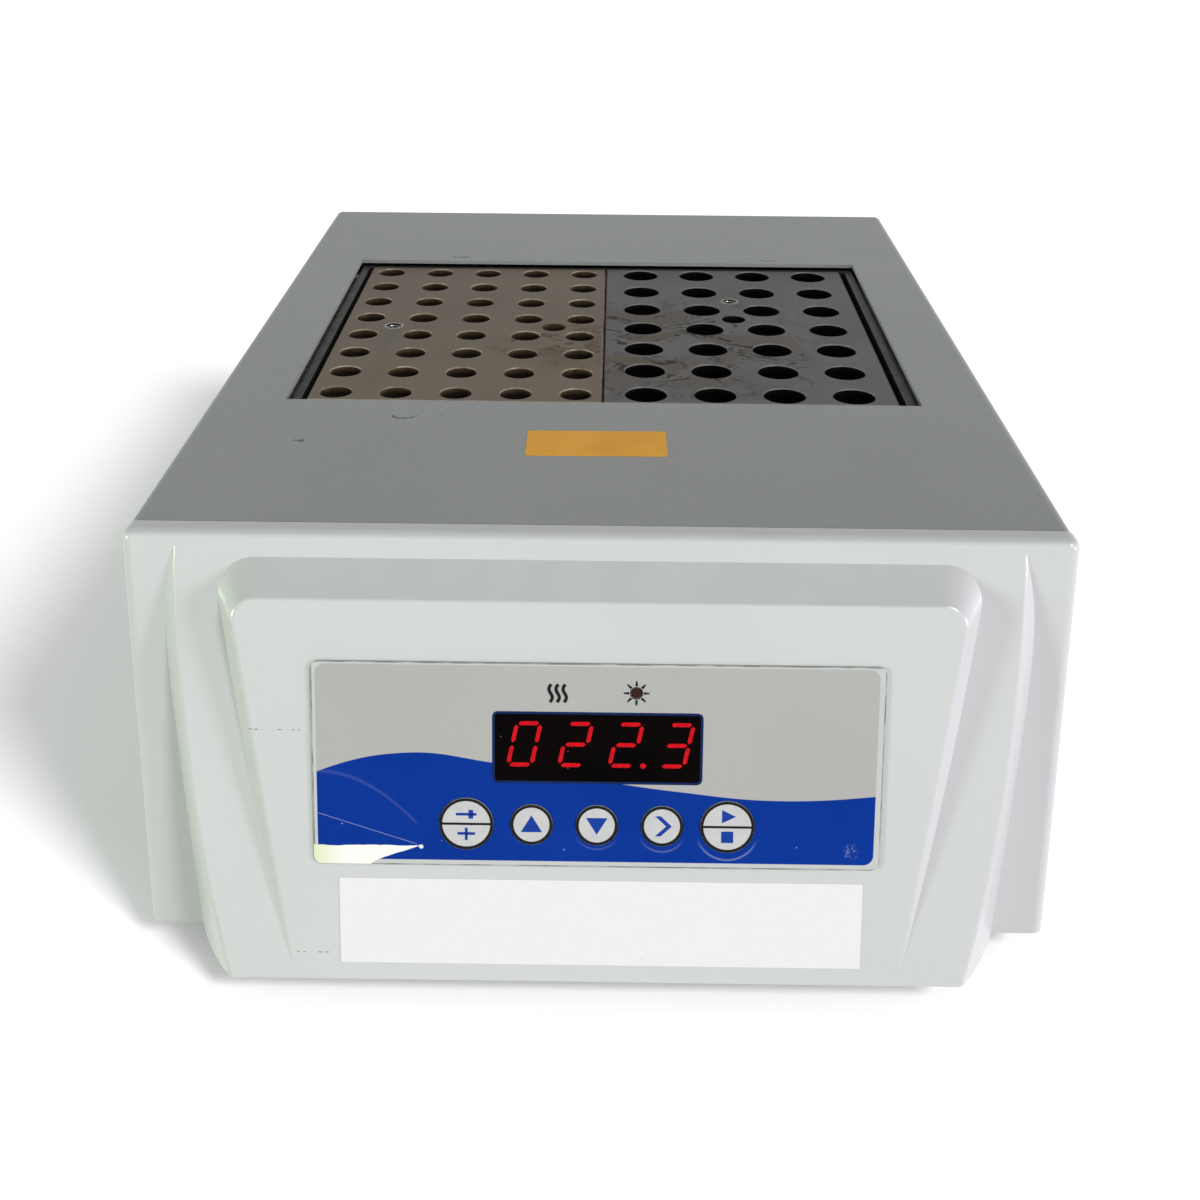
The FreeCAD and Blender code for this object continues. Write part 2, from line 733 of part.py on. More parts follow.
# The hollow behind the bezel follows the plate, the apron and the console at one wall's distance.
def make_bezel_hollow():
    body = new_body("BezelHollow")
    place(body, y="seam_y", z="foot_height")
    ceiling = "(body_height - bezel_wall)"
    ear_wall, apron_wall = "bezel_wall / cos(ear_lean)", "bezel_wall / cos(apron_lean)"

    def plate_y(z):
        return "-(ear_top_depth + tan(ear_lean) * (body_height - %s) - %s)" % (z, ear_wall)

    def apron_y(z):
        return "-(apron_start + tan(apron_lean) * (apron_top - %s) - %s)" % (z, apron_wall)

    def console_y(z):
        face = "tan(console_lean) * (%s - console_rise)" % z
        return "-(seam_y - console_y - %s - bezel_wall / cos(console_lean))" % face

    def hollow(wall_y, half, low, high):
        profile = new_sketch(body, "YZ_Plane")
        behind = "bezel_wall"
        add_outline(profile, [(behind, low), (wall_y(low), low), (wall_y(high), high), (behind, high)])
        pad(profile, "2 * (%s - bezel_wall)" % half, side="Symmetric")

    hollow(plate_y, "bezel_width / 2", "bezel_wall", ceiling)
    hollow(apron_y, "apron_edge_half", "bezel_wall", ceiling)
    shelf = "(console_rise + console_height * cos(console_lean) - 2 * bezel_wall)"
    hollow(console_y, "console_foot_half", "3 * bezel_wall", shelf)
    return body


# Key places along the row, from left to right, with the two larger keys at the ends.
KEYS = [("key_set", "-2 * key_pitch", "big_key_radius"), ("key_up", "-key_pitch", "small_key_radius"),
        ("key_down", "0", "small_key_radius"), ("key_shift", "key_pitch", "small_key_radius"),
        ("key_start", "2 * key_pitch", "big_key_radius")]
LAMPS = [("heat_lamp", "-lamp_offset"), ("alarm_lamp", "lamp_offset")]


# The front bezel is one moulding: face, console, hollow, openings for the display and keys, and screw bosses.
def make_front_bezel():
    shell = fused("BezelSkin", [make_bezel_face(), make_console()])
    below = box("BelowBezel", "2 * bezel_width", "4 * apron_reach", "foot_height * 2",
                y="seam_y", z="-foot_height")
    shell = cut("BezelShell", shell, [below, make_bezel_hollow()])
    pilot = "small_screw_radius + screw_fit"
    through, behind = "3 * bezel_wall", "-2 * bezel_wall"
    posts = []
    openings = [box("WindowOpening", "window_width", "window_height", through,
                    y="window_base + window_height / 2", z=behind)]
    for i, (x, y) in enumerate(display_posts()):
        length = "board_setback - bezel_wall / 2"
        posts.append(rod("DisplayPost%d" % i, "post_radius", length, x, y, "-board_setback"))
        openings.append(rod("Pilot%d" % i, pilot, "board_setback - bezel_wall", x, y, "-board_setback"))
    for name, x, radius in KEYS:
        openings.append(rod(name + "_opening", radius + " + key_gap", through, x, "key_row", behind))
    for name, x in LAMPS:
        openings.append(rod(name + "_opening", "lamp_radius + lamp_gap", through, x, "lamp_row", behind))
    inside = [shell, place_on_console(group("DisplayPosts", posts))]
    holes = [place_on_console(group("ConsoleOpenings", openings))]
    for i, (x, z) in enumerate(bezel_bosses()):
        height, forward = "foot_height + " + z, (0, -1, 0)
        depth = "ear_top_depth + tan(ear_lean) * (body_height - %s) - bezel_wall" % z
        length = depth + " + bezel_wall / 2"
        inside.append(rod("Boss%d" % i, "boss_radius", length, x, "seam_y", height, forward))
        holes.append(rod("BossHole%d" % i, pilot, depth, x, "seam_y", height, forward))
    node(cut("FrontBezel", fused("BezelWithBosses", inside), holes), "front_bezel")


# A printed film covers the console, cut out round the window, the keys and the alarm lens.
def make_film():
    body = new_body("Film")
    place_on_console(body)
    sheet = new_sketch(body, "XY_Plane")
    add_rectangle(sheet, "film_width / 2", "film_base", "film_base + film_height")
    add_rectangle(sheet, "window_width / 2", "window_base", "window_base + window_height")
    for name, x, radius in KEYS:
        add_circle(sheet, x, "key_row", radius + " + key_gap")
    add_circle(sheet, "lamp_offset", "lamp_row", "lens_radius + key_gap")
    film = pad(sheet, "film_thickness")
    half = measure("film_width / 2")

    def corner(edge):
        return lies_along(edge, (0, 0, 1)) and abs(abs(edge.CenterOfMass.x) - half) < 0.01

    round_edges(film, "film_round", corner)
    node(body, "keypad_overlay")
    pane = new_body("Pane")
    place_on_console(pane)
    face = new_sketch(pane, "XY_Plane", "film_thickness - key_proud")
    lower, upper = "window_base + window_gap", "window_base + window_height - window_gap"
    add_rectangle(face, "window_width / 2 - window_gap", lower, upper)
    pad(face, "window_thickness", backwards=True)
    node(pane, "display_window")


# Each key is a flat cap level with the film, with a stem that reaches the switch behind it.
def make_keys():
    for name, x, radius in KEYS:
        body = new_body(name.title().replace("_", ""))
        place_on_console(body)
        cap = new_sketch(body, "XY_Plane", "key_top")
        add_circle(cap, x, "key_row", radius)
        pad(cap, "key_thickness", backwards=True)
        stem = new_sketch(body, "XY_Plane", "key_top - key_thickness")
        add_circle(stem, x, "key_row", "key_stem_radius")
        pad(stem, "stem_end - key_thickness + key_top", backwards=True)
        node(body, name)


# The display board hangs on the console's posts and carries the digits, lamps and key switches.
def make_display_board():
    body = new_body("DisplayBoard")
    place_on_console(body)
    board = new_sketch(body, "XY_Plane", "-board_setback")
    upper = "display_board_base + display_board_height"
    add_rectangle(board, "display_board_width / 2", "display_board_base", upper)
    for x, y in display_posts():
        add_circle(board, x, y, "small_screw_radius + screw_hole_gap")
    pad(board, "board_thickness", backwards=True)
    node(body, "display_board")
    digits = box("Digits", "window_width - 2 * window_gap", "window_height - 2 * window_gap",
                 "board_setback - display_inset - window_thickness + film_thickness",
                 y="window_base + window_height / 2", z="-board_setback")
    node(place_on_console(group("DisplayModule", [digits])), "display_module")
    switches = []
    board_face = "-board_setback"
    for name, x, radius in KEYS:
        case = box(name + "_case", "switch_side", "switch_side", "switch_height", x, "key_row", board_face)
        tall = "switch_height + plunger_height"
        plunger = rod(name + "_plunger", "plunger_radius", tall, x, "key_row", board_face)
        switches.append(fused(name + "_switch", [case, plunger]))
    node(place_on_console(group("KeySwitches", switches)), "key_switches")
    tall = "board_setback - lamp_gap"
    heat = rod("HeatLamp", "lamp_radius", tall, "-lamp_offset", "lamp_row", board_face)
    node(place_on_console(group("HeatLampGroup", [heat])), "heat_lamp")
    tall = "board_setback - bezel_wall / 2"
    case = rod("AlarmCase", "lamp_radius", tall, "lamp_offset", "lamp_row", board_face)
    tall = "board_setback + key_top"
    lens = rod("AlarmLens", "lens_radius", tall, "lamp_offset", "lamp_row", board_face)
    node(place_on_console(fused("AlarmLamp", [case, lens])), "alarm_lamp")
    screws = []
    under = "-(board_setback + board_thickness)"
    for i, (x, y) in enumerate(display_posts()):
        head = rod("BoardHead%d" % i, "small_head_radius", "small_head", x, y, under + " - small_head")
        shank = rod("BoardShank%d" % i, "small_screw_radius", "board_thickness + 2 * bezel_wall", x, y, under)
        screws.append(fused("BoardScrew%d" % i, [head, shank]))
    node(place_on_console(group("BoardScrews", screws)), "board_screws")


# The tray is milled from one plate: a thick floor for the heater and four thin walls round the blocks.
def make_tray():
    body = new_body("Tray")
    place(body, y="tray_y", z="tray_bottom")
    outside = new_sketch(body, "XY_Plane")
    add_rectangle(outside, "tray_width / 2", "-tray_depth / 2", "tray_depth / 2")
    height = "block_top - tray_rim_drop - tray_bottom"
    pad(outside, height)
    inside = new_sketch(body, "XY_Plane", height)
    add_rectangle(inside, "tray_inner_width / 2", "-tray_inner_depth / 2", "tray_inner_depth / 2")
    pocket(inside, height + " - tray_floor")
    sensor = new_sketch(body, "XZ_Plane", "-tray_depth / 2")
    add_circle(sensor, "0", "tray_floor / 2", "sensor_radius + sensor_fit")
    pocket(sensor, "sensor_depth", backwards=True)
    node(body, "heater_tray")


# Each block is a milled billet with a grid of drilled wells, a lifting thread and a thermometer hole.
def make_block(label, x, pitch, columns, rows, radius, depth, lift_cell, probe_cell):
    body = new_body(label.title().replace("_", ""))
    place(body, x, "tray_y", "block_bottom")
    base = new_sketch(body, "XY_Plane")
    add_rectangle(base, "block_width / 2", "-block_depth / 2", "block_depth / 2")
    billet = pad(base, "block_height")
    top = measure("block_height")

    def rim(edge):
        return edge.CenterOfMass.z > top - 0.01

    round_edges(billet, "block_chamfer", rim, kind="Chamfer")
    first = new_sketch(body, "XY_Plane", "block_height")
    add_circle(first, "-(%s - 1) / 2 * %s" % (columns, pitch), "-(%s - 1) / 2 * %s" % (rows, pitch), radius)
    doc.recompute()
    well = body.newObject("PartDesign::Hole", body.Name + "Well")
    well.Profile = first
    well.DepthType = "Dimension"
    well.DrillPoint = "Angled"
    bind(well, "DrillPointAngle", "well_point_angle")
    bind(well, "Diameter", "2 * " + radius)
    bind(well, "Depth", depth)
    well.HoleCutType = "Countersink"
    well.HoleCutCustomValues = True
    bind(well, "HoleCutDiameter", "2 * (%s + well_rim)" % radius)
    doc.recompute()
    grid(well, first, pitch, columns, pitch, rows)
    lift = tuple("%s * %s" % (cell, pitch) for cell in lift_cell)
    probe = tuple("%s * %s" % (cell, pitch) for cell in probe_cell)
    for place_xy, hole, deep in ((lift, "insert_radius + insert_fit", "insert_length"),
                                 (probe, "probe_hole_radius", "probe_hole_depth")):
        mouth = new_sketch(body, "XY_Plane", "block_height")
        add_circle(mouth, *place_xy, hole)
        body.Tip = pocket(mouth, deep)
    node(body, label)
    bush = new_body(label.title().replace("_", "") + "Insert")
    place(bush, x, "tray_y", "block_bottom")
    ring = new_sketch(bush, "XY_Plane", "block_height")
    add_circle(ring, *lift, "insert_radius")
    add_circle(ring, *lift, "insert_bore")
    pad(ring, "insert_length", backwards=True)
    node(bush, label + "_insert")


# Heater pad, clamp plate and wool under the tray, a wool jacket round it, and the parts that watch its heat.
def make_heater():
    def layer(name, thickness, bottom):
        return box(name, "heater_width", "heater_depth", thickness, y="tray_y", z=bottom)

    node(layer("HeaterPad", "heater_thickness", "heater_bottom"), "heater_pad")
    node(layer("Clamp", "clamp_thickness", "clamp_bottom"), "heater_clamp")
    slab_bottom = "clamp_bottom - slab_thickness"
    slab = layer("Slab", "slab_thickness", slab_bottom)
    well = rod("CutoutRoom", "cutout_radius + soft_gap", "slab_thickness", y="tray_y", z=slab_bottom)
    node(cut("InsulationSlab", slab, [well]), "insulation_slab")
    can = rod("CutoutCan", "cutout_radius", "cutout_can", y="tray_y", z="clamp_bottom - cutout_can")
    stem_end = "clamp_bottom - cutout_height"
    stem = rod("CutoutStem", "cutout_stem_radius", "cutout_height", y="tray_y", z=stem_end)
    tabs = box("CutoutTabs", "cutout_tab_span", "cutout_tab_width", "cutout_tab",
               y="tray_y", z=stem_end + " - cutout_tab")
    node(fused("ThermalCutout", [can, stem, tabs]), "thermal_cutout")
    wool = box("Wool", "jacket_width", "jacket_depth", "block_top - jacket_high - tray_bottom - jacket_low",
               y="tray_y", z="tray_bottom + jacket_low")
    room = box("WoolRoom", "jacket_inner_width", "jacket_inner_depth", "2 * block_height",
               y="tray_y", z="tray_bottom")
    probe_y, probe_z = "tray_y + tray_depth / 2 - sensor_depth + soft_gap", "tray_bottom + tray_floor / 2"
    slot = box("ProbeSlot", "6 * sensor_radius", "4 * jacket_thickness", "4 * sensor_radius + jacket_low",
               y="tray_y + tray_depth / 2", z="tray_bottom")
    node(cut("InsulationJacket", wool, [room, slot]), "insulation_jacket")
    probe = rod("Probe", "sensor_radius", "sensor_depth + sensor_tail", "0", probe_y, probe_z, (0, 1, 0))
    node(probe, "sensor_probe")
    legs, screws = [], []
    for i, (x, y) in enumerate(corners_of("standoff_x", "tray_y - standoff_y", "tray_y + standoff_y")):
        leg = rod("Leg%d" % i, "standoff_radius", "tray_bottom - floor_z", x, y, "floor_z")
        bore = rod("LegBore%d" % i, "screw_radius + screw_fit", "4 * screw_radius", x, y, "floor_z")
        legs.append(cut("Standoff%d" % i, leg, [bore]))
        shank = rod("LegShank%d" % i, "screw_radius", "chassis_gauge + 3 * screw_radius", x, y, "foot_height")
        head = rod("LegHead%d" % i, "screw_head_radius", "screw_head", x, y, "foot_height - screw_head")
        screws.append(fused("LegScrew%d" % i, [shank, head]))
    node(group("TrayStandoffs", legs), "tray_standoffs")
    node(group("StandoffScrews", screws), "standoff_screws")


# The control board stands on posts behind the bezel, with its relay, terminals, capacitors and chip.
def make_control_board():
    lift = "floor_z + control_lift"
    board = box("ControlBoard", "control_width", "control_depth", "board_thickness", y="control_y", z=lift)
    node(board, "control_board")
    posts = []
    half, reach = "(control_width / 2 - post_inset)", "(control_depth / 2 - post_inset)"
    for i, (x, y) in enumerate(corners_of(half, "control_y - " + reach, "control_y + " + reach)):
        posts.append(rod("ControlPost%d" % i, "post_radius", "control_lift", x, y, "floor_z"))
    node(group("ControlPosts", posts), "control_posts")
    top = lift + " + board_thickness"
    right, left = "control_width / 4", "-control_width / 4"
    relay = box("Relay", "relay_width", "relay_depth", "relay_height", right, "control_y", top)
    terminal_y = "control_y + control_depth / 2 - terminal_depth * 0.6"
    terminals = box("Terminals", "terminal_width", "terminal_depth", "terminal_height", left, terminal_y, top)
    chip = box("Chip", "chip_width", "chip_depth", "chip_height", left, "control_y - chip_depth", top)
    tanks = []
    for i, side in enumerate("-+"):
        tank_x, tank_y = right + " - relay_width * 1.2", "control_y %s tank_radius * 1.6" % side
        tanks.append(rod("Tank%d" % i, "tank_radius", "tank_height", tank_x, tank_y, top))
    node(group("ControlComponents", [relay, terminals, chip] + tanks), "control_components")
    ribbon = new_body("Ribbon")
    place(ribbon)
    strip = new_sketch(ribbon, "YZ_Plane")
    connector = "(display_board_base + post_inset)"
    back = "(board_setback + board_thickness)"
    behind = "%s * cos(console_lean) + ribbon_plug" % back
    start_y = "(console_y + %s * sin(console_lean) + %s)" % (connector, behind)
    start_z = "(console_z + %s * cos(console_lean) - %s * sin(console_lean))" % (connector, back)
    start_top = start_z + " + ribbon_thickness"
    end_y = "(control_y - control_depth / 2 + post_inset)"
    end_back = end_y + " + ribbon_thickness"
    end_z = "(%s + soft_gap)" % top
    add_outline(strip, [(start_y, start_z), (end_y, start_z), (end_y, end_z), (end_back, end_z),
                        (end_back, start_top), (start_y, start_top)])
    pad(strip, "ribbon_width", side="Symmetric")
    node(ribbon, "display_ribbon")


# The transformer's laminations close round a coil; the heat sink carries the triac that feeds the heater.
def make_power_parts():
    y, x = "power_y", "-power_x"
    stack = box("Stack", "core_width", "core_depth", "core_height", x, y, "floor_z")
    window_width = "(core_width / 2 - 2 * core_leg)"
    window_tall = "core_height - 2 * core_leg"
    holes = []
    for i, side in enumerate("+-"):
        middle = "%s %s (core_leg + %s / 2)" % (x, side, window_width)
        holes.append(box("CoreWindow%d" % i, window_width, "2 * core_depth", window_tall,
                         middle, y, "floor_z + core_leg"))
    node(cut("TransformerCore", stack, holes), "transformer_core")
    coil_width = "2 * (core_leg + %s - coil_gap)" % window_width
    coil_tall = "%s - 2 * coil_gap" % window_tall
    winding = box("Winding", coil_width, "core_depth + 2 * coil_overhang", coil_tall,
                  x, y, "floor_z + core_leg + coil_gap")
    leg = box("WindingBore", "2 * (core_leg + coil_gap)", "core_depth + 2 * coil_gap", "core_height",
              x, y, "floor_z")
    node(cut("TransformerCoil", winding, [leg]), "transformer_coil")
    sink = new_body("Sink")
    place(sink, "-sink_x", y, "floor_z")
    plate = new_sketch(sink, "XY_Plane")
    add_rectangle(plate, "sink_width / 2", "-sink_base", "0")
    pad(plate, "sink_height")
    fin = new_sketch(sink, "XY_Plane")
    left, right, root = "-sink_width / 2", "sink_fin - sink_width / 2", "-sink_base / 2"
    add_outline(fin, [(left, root), (right, root), (right, "sink_fin_depth"), (left, "sink_fin_depth")])
    fins = "floor((sink_width - sink_fin) / sink_fin_pitch) + 1"
    grid(pad(fin, "sink_height"), fin, "sink_fin_pitch", fins)
    node(sink, "heat_sink")
    face = "(power_y - sink_base - triac_thickness / 2)"
    low = "floor_z + sink_height / 2 - triac_height / 2"
    case = box("TriacCase", "triac_width", "triac_thickness", "triac_height * 0.6", "-sink_x", face, low)
    tab = box("TriacTab", "triac_width", "triac_thickness / 3", "triac_height", "-sink_x",
              "power_y - sink_base - triac_thickness / 6", low)
    node(fused("Triac", [case, tab]), "triac")
    stud = rod("Stud", "screw_radius", "6 * screw_radius", "-sink_x + sink_width", y, "floor_z")
    nut = doc.addObject("Part::Prism", "Nut")
    nut.Polygon = 6
    bind(nut, "Circumradius", "2 * screw_radius")
    bind(nut, "Height", "1.6 * screw_radius")
    place(nut, "-sink_x + sink_width", y, "floor_z + 1")
    node(fused("EarthStud", [stud, nut]), "earth_stud")


# The mains inlet and its fuse drawer share one moulding with a rounded flange outside the rear wall.
# The socket has its two upper corners cut off, on the side of the middle pin.
def make_inlet():
    body = new_body("Inlet")
    place(body, "inlet_x", "rear_y", "inlet_z")
    flange = new_sketch(body, "XZ_Plane")
    tall = "inlet_flange_height / 2"
    add_rectangle(flange, "inlet_flange_width / 2", "-" + tall, tall)
    plate = pad(flange, "inlet_flange", backwards=True)
    round_edges(plate, "inlet_round", lambda edge: lies_along(edge, (0, 1, 0)))
    housing = new_sketch(body, "XZ_Plane")
    add_rectangle(housing, "inlet_body_width / 2", "-inlet_body_height / 2", "inlet_body_height / 2")
    pad(housing, "inlet_body_depth")
    mouth = new_sketch(body, "XZ_Plane", "-inlet_flange")
    bottom, top = "socket_rise - socket_height / 2", "socket_rise + socket_height / 2"
    side, cut_x, cut_z = "socket_width / 2", "(socket_width / 2 - socket_corner)", top + " - socket_corner"
    add_outline(mouth, [("-" + side, bottom), (side, bottom), (side, cut_z), (cut_x, top),
                        ("-" + cut_x, top), ("-" + side, cut_z)])
    pocket(mouth, "socket_depth", backwards=True)
    slot = new_sketch(body, "XZ_Plane", "-inlet_flange")
    half_slot = "(drawer_height / 2 + drawer_gap)"
    bottom, top = "-drawer_fall - " + half_slot, half_slot + " - drawer_fall"
    add_rectangle(slot, "drawer_width / 2 + drawer_gap", bottom, top)
    pocket(slot, "drawer_depth", backwards=True)
    node(body, "power_inlet")
    pins = []
    face_y = "(rear_y + inlet_flange)"
    for i, (across, up) in enumerate((("-", "-"), ("+", "-"), ("0 *", "+"))):
        pins.append(box("Pin%d" % i, "pin_width", "pin_length", "pin_height",
                        "inlet_x + %s pin_spread" % across, face_y + " - socket_depth + pin_length / 2",
                        "inlet_z + socket_rise %s pin_offset - pin_height / 2" % up))
    node(group("InletPins", pins), "inlet_pins")
    drawer_z = "(inlet_z - drawer_fall)"
    tray = box("DrawerTray", "drawer_width", "drawer_depth - drawer_gap", "drawer_height", "inlet_x",
               face_y + " - (drawer_depth - drawer_gap) / 2", drawer_z + " - drawer_height / 2")
    lip = box("DrawerLip", "drawer_width + 3 * drawer_lip", "drawer_lip", "drawer_height + drawer_lip",
              "inlet_x", face_y + " + drawer_lip / 2", drawer_z + " - (drawer_height + drawer_lip) / 2")
    fuse_y = face_y + " - drawer_depth / 2"
    room = box("FuseRoom", "fuse_length + 2 * drawer_gap", "2 * (fuse_radius + drawer_gap)", "drawer_height",
               "inlet_x", fuse_y, drawer_z + " - fuse_radius - drawer_gap")
    node(cut("FuseDrawer", fused("DrawerBody", [tray, lip]), [room]), "fuse_drawer")
    fuse = rod("Fuse", "fuse_radius", "fuse_length", "inlet_x - fuse_length / 2", fuse_y, drawer_z, (1, 0, 0))
    node(fuse, "fuse")


# The rocker switch sits beside the inlet; its rocker turns on two short pins in the housing's side walls.
def make_switch():
    frame = box("SwitchFrame", "switch_frame_width", "switch_flange", "switch_frame_height", "switch_x",
                "rear_y + switch_flange / 2", "inlet_z - switch_frame_height / 2")
    case = box("SwitchCase", "switch_frame_width - switch_frame_wall", "switch_body_depth",
               "switch_frame_height - switch_frame_wall", "switch_x", "rear_y - switch_body_depth / 2",
               "inlet_z - (switch_frame_height - switch_frame_wall) / 2")
    room_depth = "(rocker_root + rocker_pivot + switch_flange)"
    room = box("RockerRoom", "switch_frame_width - 2 * switch_frame_wall", room_depth + " + 1",
               "switch_frame_height - 2 * switch_frame_wall", "switch_x",
               "rear_y + switch_flange - (%s - 1) / 2" % room_depth,
               "inlet_z - switch_frame_height / 2 + switch_frame_wall")
    room_half = "(switch_frame_width / 2 - switch_frame_wall)"
    pivot_y = "rear_y + switch_flange - rocker_pivot"
    socket_reach = "(%s + rocker_pin_reach + rocker_gap / 2)" % room_half
    sockets = rod("PivotSockets", "rocker_pin_radius + rocker_pin_fit", "2 * " + socket_reach,
                  "switch_x - " + socket_reach, pivot_y, "inlet_z", (1, 0, 0))
    node(cut("SwitchBody", fused("SwitchShell", [frame, case]), [room, sockets]), "switch_body")
    rocker = new_body("Rocker")
    rocker.Placement = Placement(Vector(), Rotation(Vector(1, 0, 0), 5))
    bind(rocker, "Placement.Rotation.Angle", "rocker_tilt")
    place(rocker, "switch_x", pivot_y, "inlet_z")
    profile = new_sketch(rocker, "YZ_Plane")
    end, middle, root = "rocker_end + rocker_pivot", "rocker_mid + rocker_pivot", "rocker_pivot - rocker_root"
    add_outline(profile, [(root, "-rocker_half"), (end, "-rocker_half"), (middle, "0"),
                          (end, "rocker_half"), (root, "rocker_half")])
    pad(profile, "2 * (%s - rocker_gap)" % room_half, side="Symmetric")
    pins = new_sketch(rocker, "YZ_Plane")
    add_circle(pins, "0", "0", "rocker_pin_radius")
    pad(pins, "2 * (%s + rocker_pin_reach)" % room_half, side="Symmetric")
    node(rocker, "power_rocker")


# Four rubber feet, and the screws that hold the feet, the cover and the bezel.
def make_feet_and_screws():
    feet, foot_screws, cover_screws, bezel_screws = [], [], [], []
    for i, (x, y) in enumerate(corners_of("foot_x", "front_foot_y", "rear_foot_y")):
        cone = doc.addObject("Part::Cone", "FootCone%d" % i)
        bind(cone, "Radius1", "foot_tip_radius")
        bind(cone, "Radius2", "foot_radius")
        bind(cone, "Height", "foot_height")
        place(cone, x, y, "0")
        sink = rod("FootSink%d" % i, "screw_head_radius + screw_hole_gap", "foot_height / 2", x, y, "0")
        bore = rod("FootBore%d" % i, "screw_radius + screw_fit", "foot_height", x, y, "0")
        feet.append(cut("Foot%d" % i, cone, [sink, bore]))
        head = rod("FootHead%d" % i, "screw_head_radius", "screw_head", x, y, "foot_height / 2 - screw_head")
        length = "foot_height / 2 + 3 * chassis_gauge"
        shank = rod("FootShank%d" % i, "screw_radius", length, x, y, "foot_height / 2")
        foot_screws.append(fused("FootScrew%d" % i, [head, shank]))
    for i, side in enumerate((1, -1)):
        face, inward = "%d * cover_width / 2" % side, (-side, 0, 0)
        length = "cover_gauge + chassis_gauge + 2 * screw_radius"
        for j, y in enumerate(("front_foot_y", "rear_foot_y")):
            head = rod("CoverHead%d%d" % (i, j), "screw_head_radius", "screw_head",
                       "%s + %d * screw_head" % (face, side), y, "cover_screw_z", inward)
            shank = rod("CoverShank%d%d" % (i, j), "screw_radius", length, face, y, "cover_screw_z", inward)
            cover_screws.append(fused("CoverScrew%d%d" % (i, j), [head, shank]))
    for i, (x, z) in enumerate(bezel_bosses()):
        seat, height = "seam_y + chassis_gauge", "foot_height + " + z
        length = "chassis_gauge + ear_top_depth / 4"
        head = rod("BezelHead%d" % i, "small_head_radius", "small_head", x, seat, height, (0, 1, 0))
        shank = rod("BezelShank%d" % i, "small_screw_radius", length, x, seat, height, (0, -1, 0))
        bezel_screws.append(fused("BezelScrew%d" % i, [head, shank]))
    node(group("Feet", feet), "rubber_feet")
    node(group("FootScrews", foot_screws), "foot_screws")
    node(group("CoverScrews", cover_screws), "cover_screws")
    node(group("BezelScrews", bezel_screws), "bezel_screws")


def write_parts():
    """Checks every object and shape, then writes one file to each named piece."""
    doc.recompute()
    failed = [thing.Name for thing in doc.Objects if "Invalid" in thing.State or "Error" in thing.State]
    if failed:
        raise RuntimeError("failed objects: " + ", ".join(failed))
    for thing in nodes:
        if thing.Shape.isNull() or not thing.Shape.isValid() or not thing.Shape.Solids:
            raise RuntimeError("bad shape: " + thing.Label)
    os.makedirs("parts", exist_ok=True)
    for thing in nodes:
        thing.Shape.exportStep("parts/%s.step" % thing.Label)
    print(len(nodes), "pieces written")


make_top_cover()
make_chassis()
make_front_bezel()
make_film()
make_keys()
make_display_board()
make_tray()
make_block("block_left", "left_block_x", "small_well_pitch", "small_well_columns", "small_well_rows",
           "small_well_radius", "small_well_depth", ("-1.5", "0"), ("1.5", "0"))
make_block("block_right", "right_block_x", "large_well_pitch", "large_well_columns", "large_well_rows",
           "large_well_radius", "large_well_depth", ("0", "1.5"), ("0", "0.5"))
make_heater()
make_control_board()
make_power_parts()
make_inlet()
make_switch()
make_feet_and_screws()
write_parts()
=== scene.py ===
import json
from math import atan2, cos, pi, radians, sin

import bmesh
import bpy
from mathutils import Matrix, Vector


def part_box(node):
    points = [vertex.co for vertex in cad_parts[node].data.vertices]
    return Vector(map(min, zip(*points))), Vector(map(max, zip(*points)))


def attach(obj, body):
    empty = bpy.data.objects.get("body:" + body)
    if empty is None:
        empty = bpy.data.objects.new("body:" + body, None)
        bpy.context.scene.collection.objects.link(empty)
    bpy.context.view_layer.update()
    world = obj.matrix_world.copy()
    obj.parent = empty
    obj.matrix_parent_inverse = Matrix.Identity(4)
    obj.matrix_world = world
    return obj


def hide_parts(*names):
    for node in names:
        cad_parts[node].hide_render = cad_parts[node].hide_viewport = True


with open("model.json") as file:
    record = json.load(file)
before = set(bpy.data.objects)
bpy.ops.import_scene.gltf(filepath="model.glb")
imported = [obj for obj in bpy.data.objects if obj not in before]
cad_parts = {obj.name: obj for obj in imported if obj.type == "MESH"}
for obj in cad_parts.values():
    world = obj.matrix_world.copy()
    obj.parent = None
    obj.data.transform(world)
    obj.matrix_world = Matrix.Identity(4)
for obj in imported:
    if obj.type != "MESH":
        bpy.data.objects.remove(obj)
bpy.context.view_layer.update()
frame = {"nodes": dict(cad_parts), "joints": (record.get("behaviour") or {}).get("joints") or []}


# The chassis is the lower half of the case, one zinc-plated steel sheet folded up at the front and rear.
# The clamp plate under the heater is cut from the same sheet.
# Zinc shows faint crystals and a rolling grain with darker streaks.
MM = 0.001
CRYSTAL, CRYSTAL_GRAIN, ROLLED_LINE, ROLLED_DEPTH = 5 * MM, 2 * MM, 0.5 * MM, 0.012 * MM
ZINC_DARK, ZINC_LIGHT, ZINC_STREAK = (0.430, 0.440, 0.445), (0.500, 0.508, 0.510), (0.36, 0.37, 0.375)


def feed(tree, node, socket, value):
    """Puts a link or a plain value on one socket."""
    if isinstance(value, bpy.types.NodeSocket):
        tree.links.new(value, node.inputs[socket])
    else:
        node.inputs[socket].default_value = value


def add_node(tree, kind, sockets=None, **settings):
    """One shader node, with its settings and with values or links on its sockets."""
    made = tree.nodes.new(kind)
    for key, value in settings.items():
        setattr(made, key, value)
    for key, value in (sockets or {}).items():
        feed(tree, made, key, value)
    return made


def calculate(tree, operation, *values):
    """One sum on numbers."""
    return add_node(tree, "ShaderNodeMath", dict(enumerate(values)), operation=operation).outputs[0]


